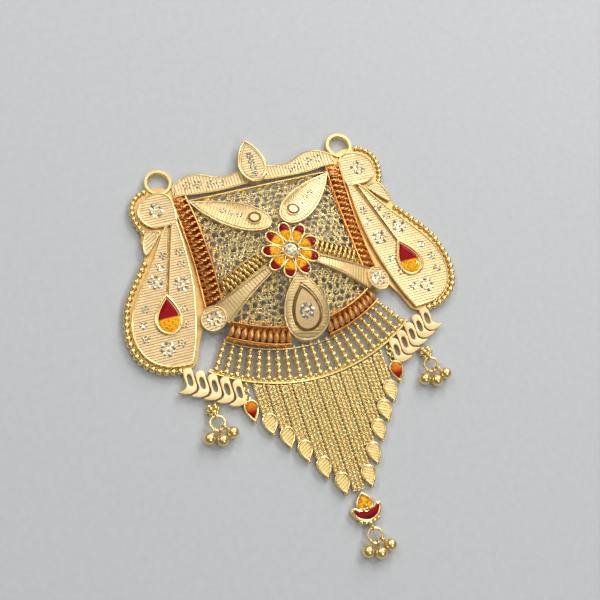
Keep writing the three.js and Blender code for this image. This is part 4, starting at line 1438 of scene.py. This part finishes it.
def chain_fringe():
    """All the strands: three columns of tipped links a strand, close together."""
    bm = bmesh.new()
    link = ring_stamp(0.2, 0.17, 10, 6)
    tuck = Matrix.Rotation(math.radians(LINK_TUCK), 4, "X") @ Matrix.Diagonal((0.9, 0.95, 1.15, 1))
    for k in range(-STRANDS_ASIDE, STRANDS_ASIDE + 1):
        low = STRAND_ENDS[abs(k)]
        for column in (-1, 0, 1):
            x = k * STRAND_PITCH + column * COLUMN_GAP
            top = rail_edge(x) - 0.25 - (LINK_PITCH / 2 if column == 0 else 0)
            for i in range(round((top - low + 0.15) / LINK_PITCH)):
                roll = Matrix.Rotation(math.radians(LINK_ROLL if i % 2 else -LINK_ROLL), 4, "Y")
                spot = Matrix.Translation((x, top - i * LINK_PITCH, LINK_LEVEL))
                stamp(bm, link, spot @ roll @ tuck)
    return bm


def chain_backing():
    """The flat gold strips behind the links, one a strand."""
    bm = bmesh.new()
    half = STRAND_PITCH / 2 - 0.08
    for k in range(-STRANDS_ASIDE, STRANDS_ASIDE + 1):
        left, right, low = k * STRAND_PITCH - half, k * STRAND_PITCH + half, STRAND_ENDS[abs(k)] + 0.1
        strip = [(left, rail_edge(left)), (right, rail_edge(right)), (right, low), (left, low)]
        absorb(bm, saw_sheet([Vector((*p, 0)) for p in strip], 0.12, 0.5))
    return bm


finish_piece(chain_backing(), "chain_backing", WIRE_GOLD)
finish_piece(chain_fringe(), "chain_links", CHAIN_GOLD, ["chain_fringe"], crease=80)

# %% [markdown]
# ## End leaves
# Each outer strand ends in a small engraved leaf with a wire rim and a ball at its tip. They are all one
# design, so one function builds them from the strand's number, and each pair is mirrored.

# %% End leaves
TIP_BALL = ball_stamp(0.34, 14, 9)


def end_leaf(k):
    """A small leaf under a strand: engraved face, wire rim and a ball at its tip."""
    x, top = k * STRAND_PITCH + 0.14, STRAND_ENDS[k] - 0.12
    outline = drop((x, top - 2.95), (x, top + 0.3), 2.3, 36, 0.8)
    bm = saw_sheet(outline, 0.15, 0.95, border=0.18)
    engrave(bm, 62, pitch=0.42, cut=0.16, depth=0.1)
    lay_wires(bm, [lift_points(drop((x, top - 2.85), (x, top + 0.2), 2.1, 36, 0.8), 0.95)], 0.16)
    stamp(bm, TIP_BALL, Matrix.Translation((x, top - 3.0, 0.5)))
    return bm


for k in range(1, STRANDS_ASIDE + 1):
    finish_pair(lambda: end_leaf(k), f"end_leaf_{k}", WIRE_GOLD, [f"leaf_{k}"])

# %% [markdown]
# ## Small enamel drops
# A small drop hangs at each corner of the rail, orange at its head and red at its tip, on a few links
# of chain. Its cell and its filling are made as the petals were.

# %% Small enamel drops
SMALL_X, SMALL_TOP, SMALL_TIP = 12.25, -20.15, -23.6


def small_drop():
    """The setting with its two links up to the rail."""
    outline = drop((SMALL_X, SMALL_TIP), (SMALL_X, SMALL_TOP), 2.2, 36)
    bm = saw_sheet(outline, 0.15, 0.6)
    rim = drop((SMALL_X, SMALL_TIP + 0.1), (SMALL_X, SMALL_TOP - 0.06), 2.06, 36)
    lay_wires(bm, [lift_points(rim, 0.8)], 0.14)
    link = ring_stamp(0.42, 0.14, 14, 6)
    for i, y in enumerate((-19.7, -19.05, -18.4, -17.8)):
        pose = Matrix.Rotation(math.radians(40 if i % 2 else -40), 4, "Y")
        stamp(bm, link, Matrix.Translation((SMALL_X - 0.05 * i, y, 0.62)) @ pose)
    stamp(bm, TIP_BALL, Matrix.Translation((SMALL_X, SMALL_TIP, 0.5)) @ Matrix.Scale(0.85, 4))
    return bm


def small_enamel():
    """The filling of the small drop."""
    cell = drop((SMALL_X, SMALL_TIP + 0.55), (SMALL_X, SMALL_TOP - 0.25), 1.66, 30)
    return fill_cell(cell, 0.55, 0.8, 0.22)


SMALL_ENAMEL = axis_enamel("small_drop_enamel", -21.75, RED, ORANGE, 0.0004)
finish_pair(small_drop, "small_drop", RICH_GOLD, ["drop_setting"])
finish_pair(small_enamel, "small_drop_enamel", SMALL_ENAMEL, ["drop_enamel"])

# %% [markdown]
# ## Lotus
# The fringe's point ends in a lotus: a yellow bud over a red petal shaped like a boat, with grains at its
# heart and under its keel. Bud and boat are each an outline that can shrink, so the same function gives
# the sheet, the wire that walls it and the enamel inside.

# %% Lotus
LOTUS_TOP, LOTUS_WAIST, LOTUS_LOW, LOTUS_HALF = -38.3, -40.7, -43.0, 2.42
BUNCH_Y = -45.1
LOOP_REACH = 1.27


def bud(shrink):
    """The bud's outline, its tip up the pendant."""
    return drop((0, LOTUS_TOP - shrink * 1.6), (0, LOTUS_WAIST - 0.7 + shrink), 2.7 - 2 * shrink, 32, 0.8)


def boat(shrink):
    """The boat-shaped petal below the bud, its ends turned up."""
    side, brim = LOTUS_HALF - 0.2 - 1.2 * shrink, LOTUS_WAIST + 0.3 - shrink
    flank = 1.95 - shrink
    hull = [(0.25 - side, brim), (-1.2, LOTUS_WAIST - 0.1 - shrink), (0, LOTUS_WAIST - 0.3 - shrink),
            (1.2, LOTUS_WAIST - 0.1 - shrink), (side - 0.25, brim), (side + 0.15, brim - 0.12),
            (side + 0.2, brim - 0.55), (flank, LOTUS_WAIST - 1.3 + 0.4 * shrink),
            (1.1, LOTUS_LOW + 0.4 + shrink), (0, LOTUS_LOW + 0.1 + shrink), (-1.1, LOTUS_LOW + 0.4 + shrink),
            (-flank, LOTUS_WAIST - 1.3 + 0.4 * shrink), (-side - 0.2, brim - 0.55),
            (-side - 0.15, brim - 0.12)]
    return smooth_line(hull, 5, closed=True)


def lotus():
    """The lotus cells, the grains in its middle and under it, and its loop."""
    bm = bmesh.new()
    for outline in (bud, boat):
        absorb(bm, saw_sheet(outline(0), 0.05, 0.75))
        lay_wires(bm, [lift_points(outline(0.16), 0.92)], 0.22)
    grain = ball_stamp(0.3, 12, 8)
    set_stamps(bm, grain, [Vector((x, LOTUS_WAIST - 0.3, 1.2)) for x in (-0.5, 0, 0.5)])
    stamp(bm, grain, Matrix.Translation((0, LOTUS_WAIST + 0.2, 1.25)))
    under = ball_stamp(0.37, 14, 9)
    keel = [Vector((x, LOTUS_LOW - 0.12 + 0.3 * abs(x), 0.75)) for x in (-1.4, -0.7, 0, 0.7, 1.4)]
    set_stamps(bm, under, keel)
    loop = ring_stamp(0.48, 0.12, 20, 8)
    spot = Matrix.Translation((0, BUNCH_Y + LOOP_REACH, 0.95))
    stamp(bm, loop, spot @ Matrix.Rotation(math.pi / 2, 4, "Y"))
    return bm


# %% [markdown]
# ## Ball drops
# Three bunches of three polished balls end the pendant, one under each row of slats and one under the
# lotus. Each ball has a neck and a loop, and the three loops share a jump ring. Lying down, the balls
# rest on the table and spread out like a fan, so one ball is built pointing along X and turned round
# its jump ring's middle.

# %% Ball drops
BALL, BALL_REACH, BALL_FAN = 0.95, 2.72, 43
SIDE_X, SIDE_Y, CLUSTER_Y = 18.0, -22.3, -20.1


def ball_drop(x, y, degrees):
    """One polished ball with a neck and a loop round the jump ring."""
    bm = bmesh.new()
    bmesh.ops.create_uvsphere(bm, u_segments=28, v_segments=18, radius=BALL)
    bmesh.ops.translate(bm, vec=(BALL_REACH, 0, 0), verts=bm.verts)
    neck = turned_part([(0, 0), (0.2, 0), (0.34, 0.14), (0.3, 0.28), (0, 0.28)], 14)
    bmesh.ops.transform(neck, matrix=Matrix.Translation((1.66, 0, 0)) @ Matrix.Rotation(math.pi / 2, 4, "Y"),
                        verts=neck.verts)
    absorb(bm, neck)
    loop_pose = Matrix.Translation((LOOP_REACH, 0, 0)) @ Matrix.Rotation(math.pi / 2, 4, "X")
    stamp(bm, ring_stamp(0.5, 0.12, 20, 8), loop_pose)
    turn = Matrix.Translation((x, y, BALL)) @ Matrix.Rotation(math.radians(degrees), 4, "Z")
    bmesh.ops.transform(bm, matrix=turn, verts=bm.verts)
    return bm


def jump_ring(x, y):
    """A ring of round wire that gathers three drops."""
    bm = bmesh.new()
    stamp(bm, ring_stamp(1.13, 0.21, 36, 10), Matrix.Translation((x, y, BALL)))
    return bm


def cluster():
    """A knot of granules under the last slats, with its loop."""
    bm = bmesh.new()
    grain = ball_stamp(0.4, 14, 9)
    knot = [(-0.45, 0.62, 0.6), (0.45, 0.62, 0.6), (-0.8, 0, 0.6), (0, 0, 0.6), (0.8, 0, 0.6),
            (-0.45, -0.62, 0.6), (0.45, -0.62, 0.6), (-0.4, 0.12, 1.08), (0.4, 0.12, 1.08), (0, -0.45, 1.05)]
    set_stamps(bm, grain, [Vector((SIDE_X + x, CLUSTER_Y + y, z)) for x, y, z in knot])
    loop = ring_stamp(0.48, 0.12, 20, 8)
    spot = Matrix.Translation((SIDE_X, SIDE_Y + LOOP_REACH, BALL))
    stamp(bm, loop, spot @ Matrix.Rotation(math.pi / 2, 4, "Y"))
    return bm


finish_piece(lotus(), "lotus", RICH_GOLD, ["lotus_setting"])
BUD_ENAMEL = axis_enamel("bud_enamel", -39.6, YELLOW, YELLOW)
BOAT_ENAMEL = axis_enamel("boat_enamel", -42.0, DEEP_RED, RED)
finish_piece(fill_cell(bud(0.38), 0.7, 0.92, 0.2), "bud_filling", BUD_ENAMEL,
             ["lotus_enamel_yellow"])
finish_piece(fill_cell(boat(0.36), 0.7, 0.92, 0.2), "boat_filling", BOAT_ENAMEL,
             ["lotus_enamel_red"])
finish_pair(cluster, "granule_knot", RICH_GOLD, ["cluster"])
finish_pair(lambda: jump_ring(SIDE_X, SIDE_Y), "side_ring", RICH_GOLD, ["jump_ring"])
finish_piece(jump_ring(0, BUNCH_Y), "centre_ring", RICH_GOLD, ["centre_jump_ring"])
for number in (1, 2, 3):
    degrees = -90 + (number - 2) * BALL_FAN
    finish_pair(lambda: ball_drop(SIDE_X, SIDE_Y, degrees), f"bell_{number}", RICH_GOLD,
                [f"ball_{number}"])
    finish_piece(ball_drop(0, BUNCH_Y, degrees), f"centre_bell_{number}", RICH_GOLD,
                 [f"centre_ball_{number}"])
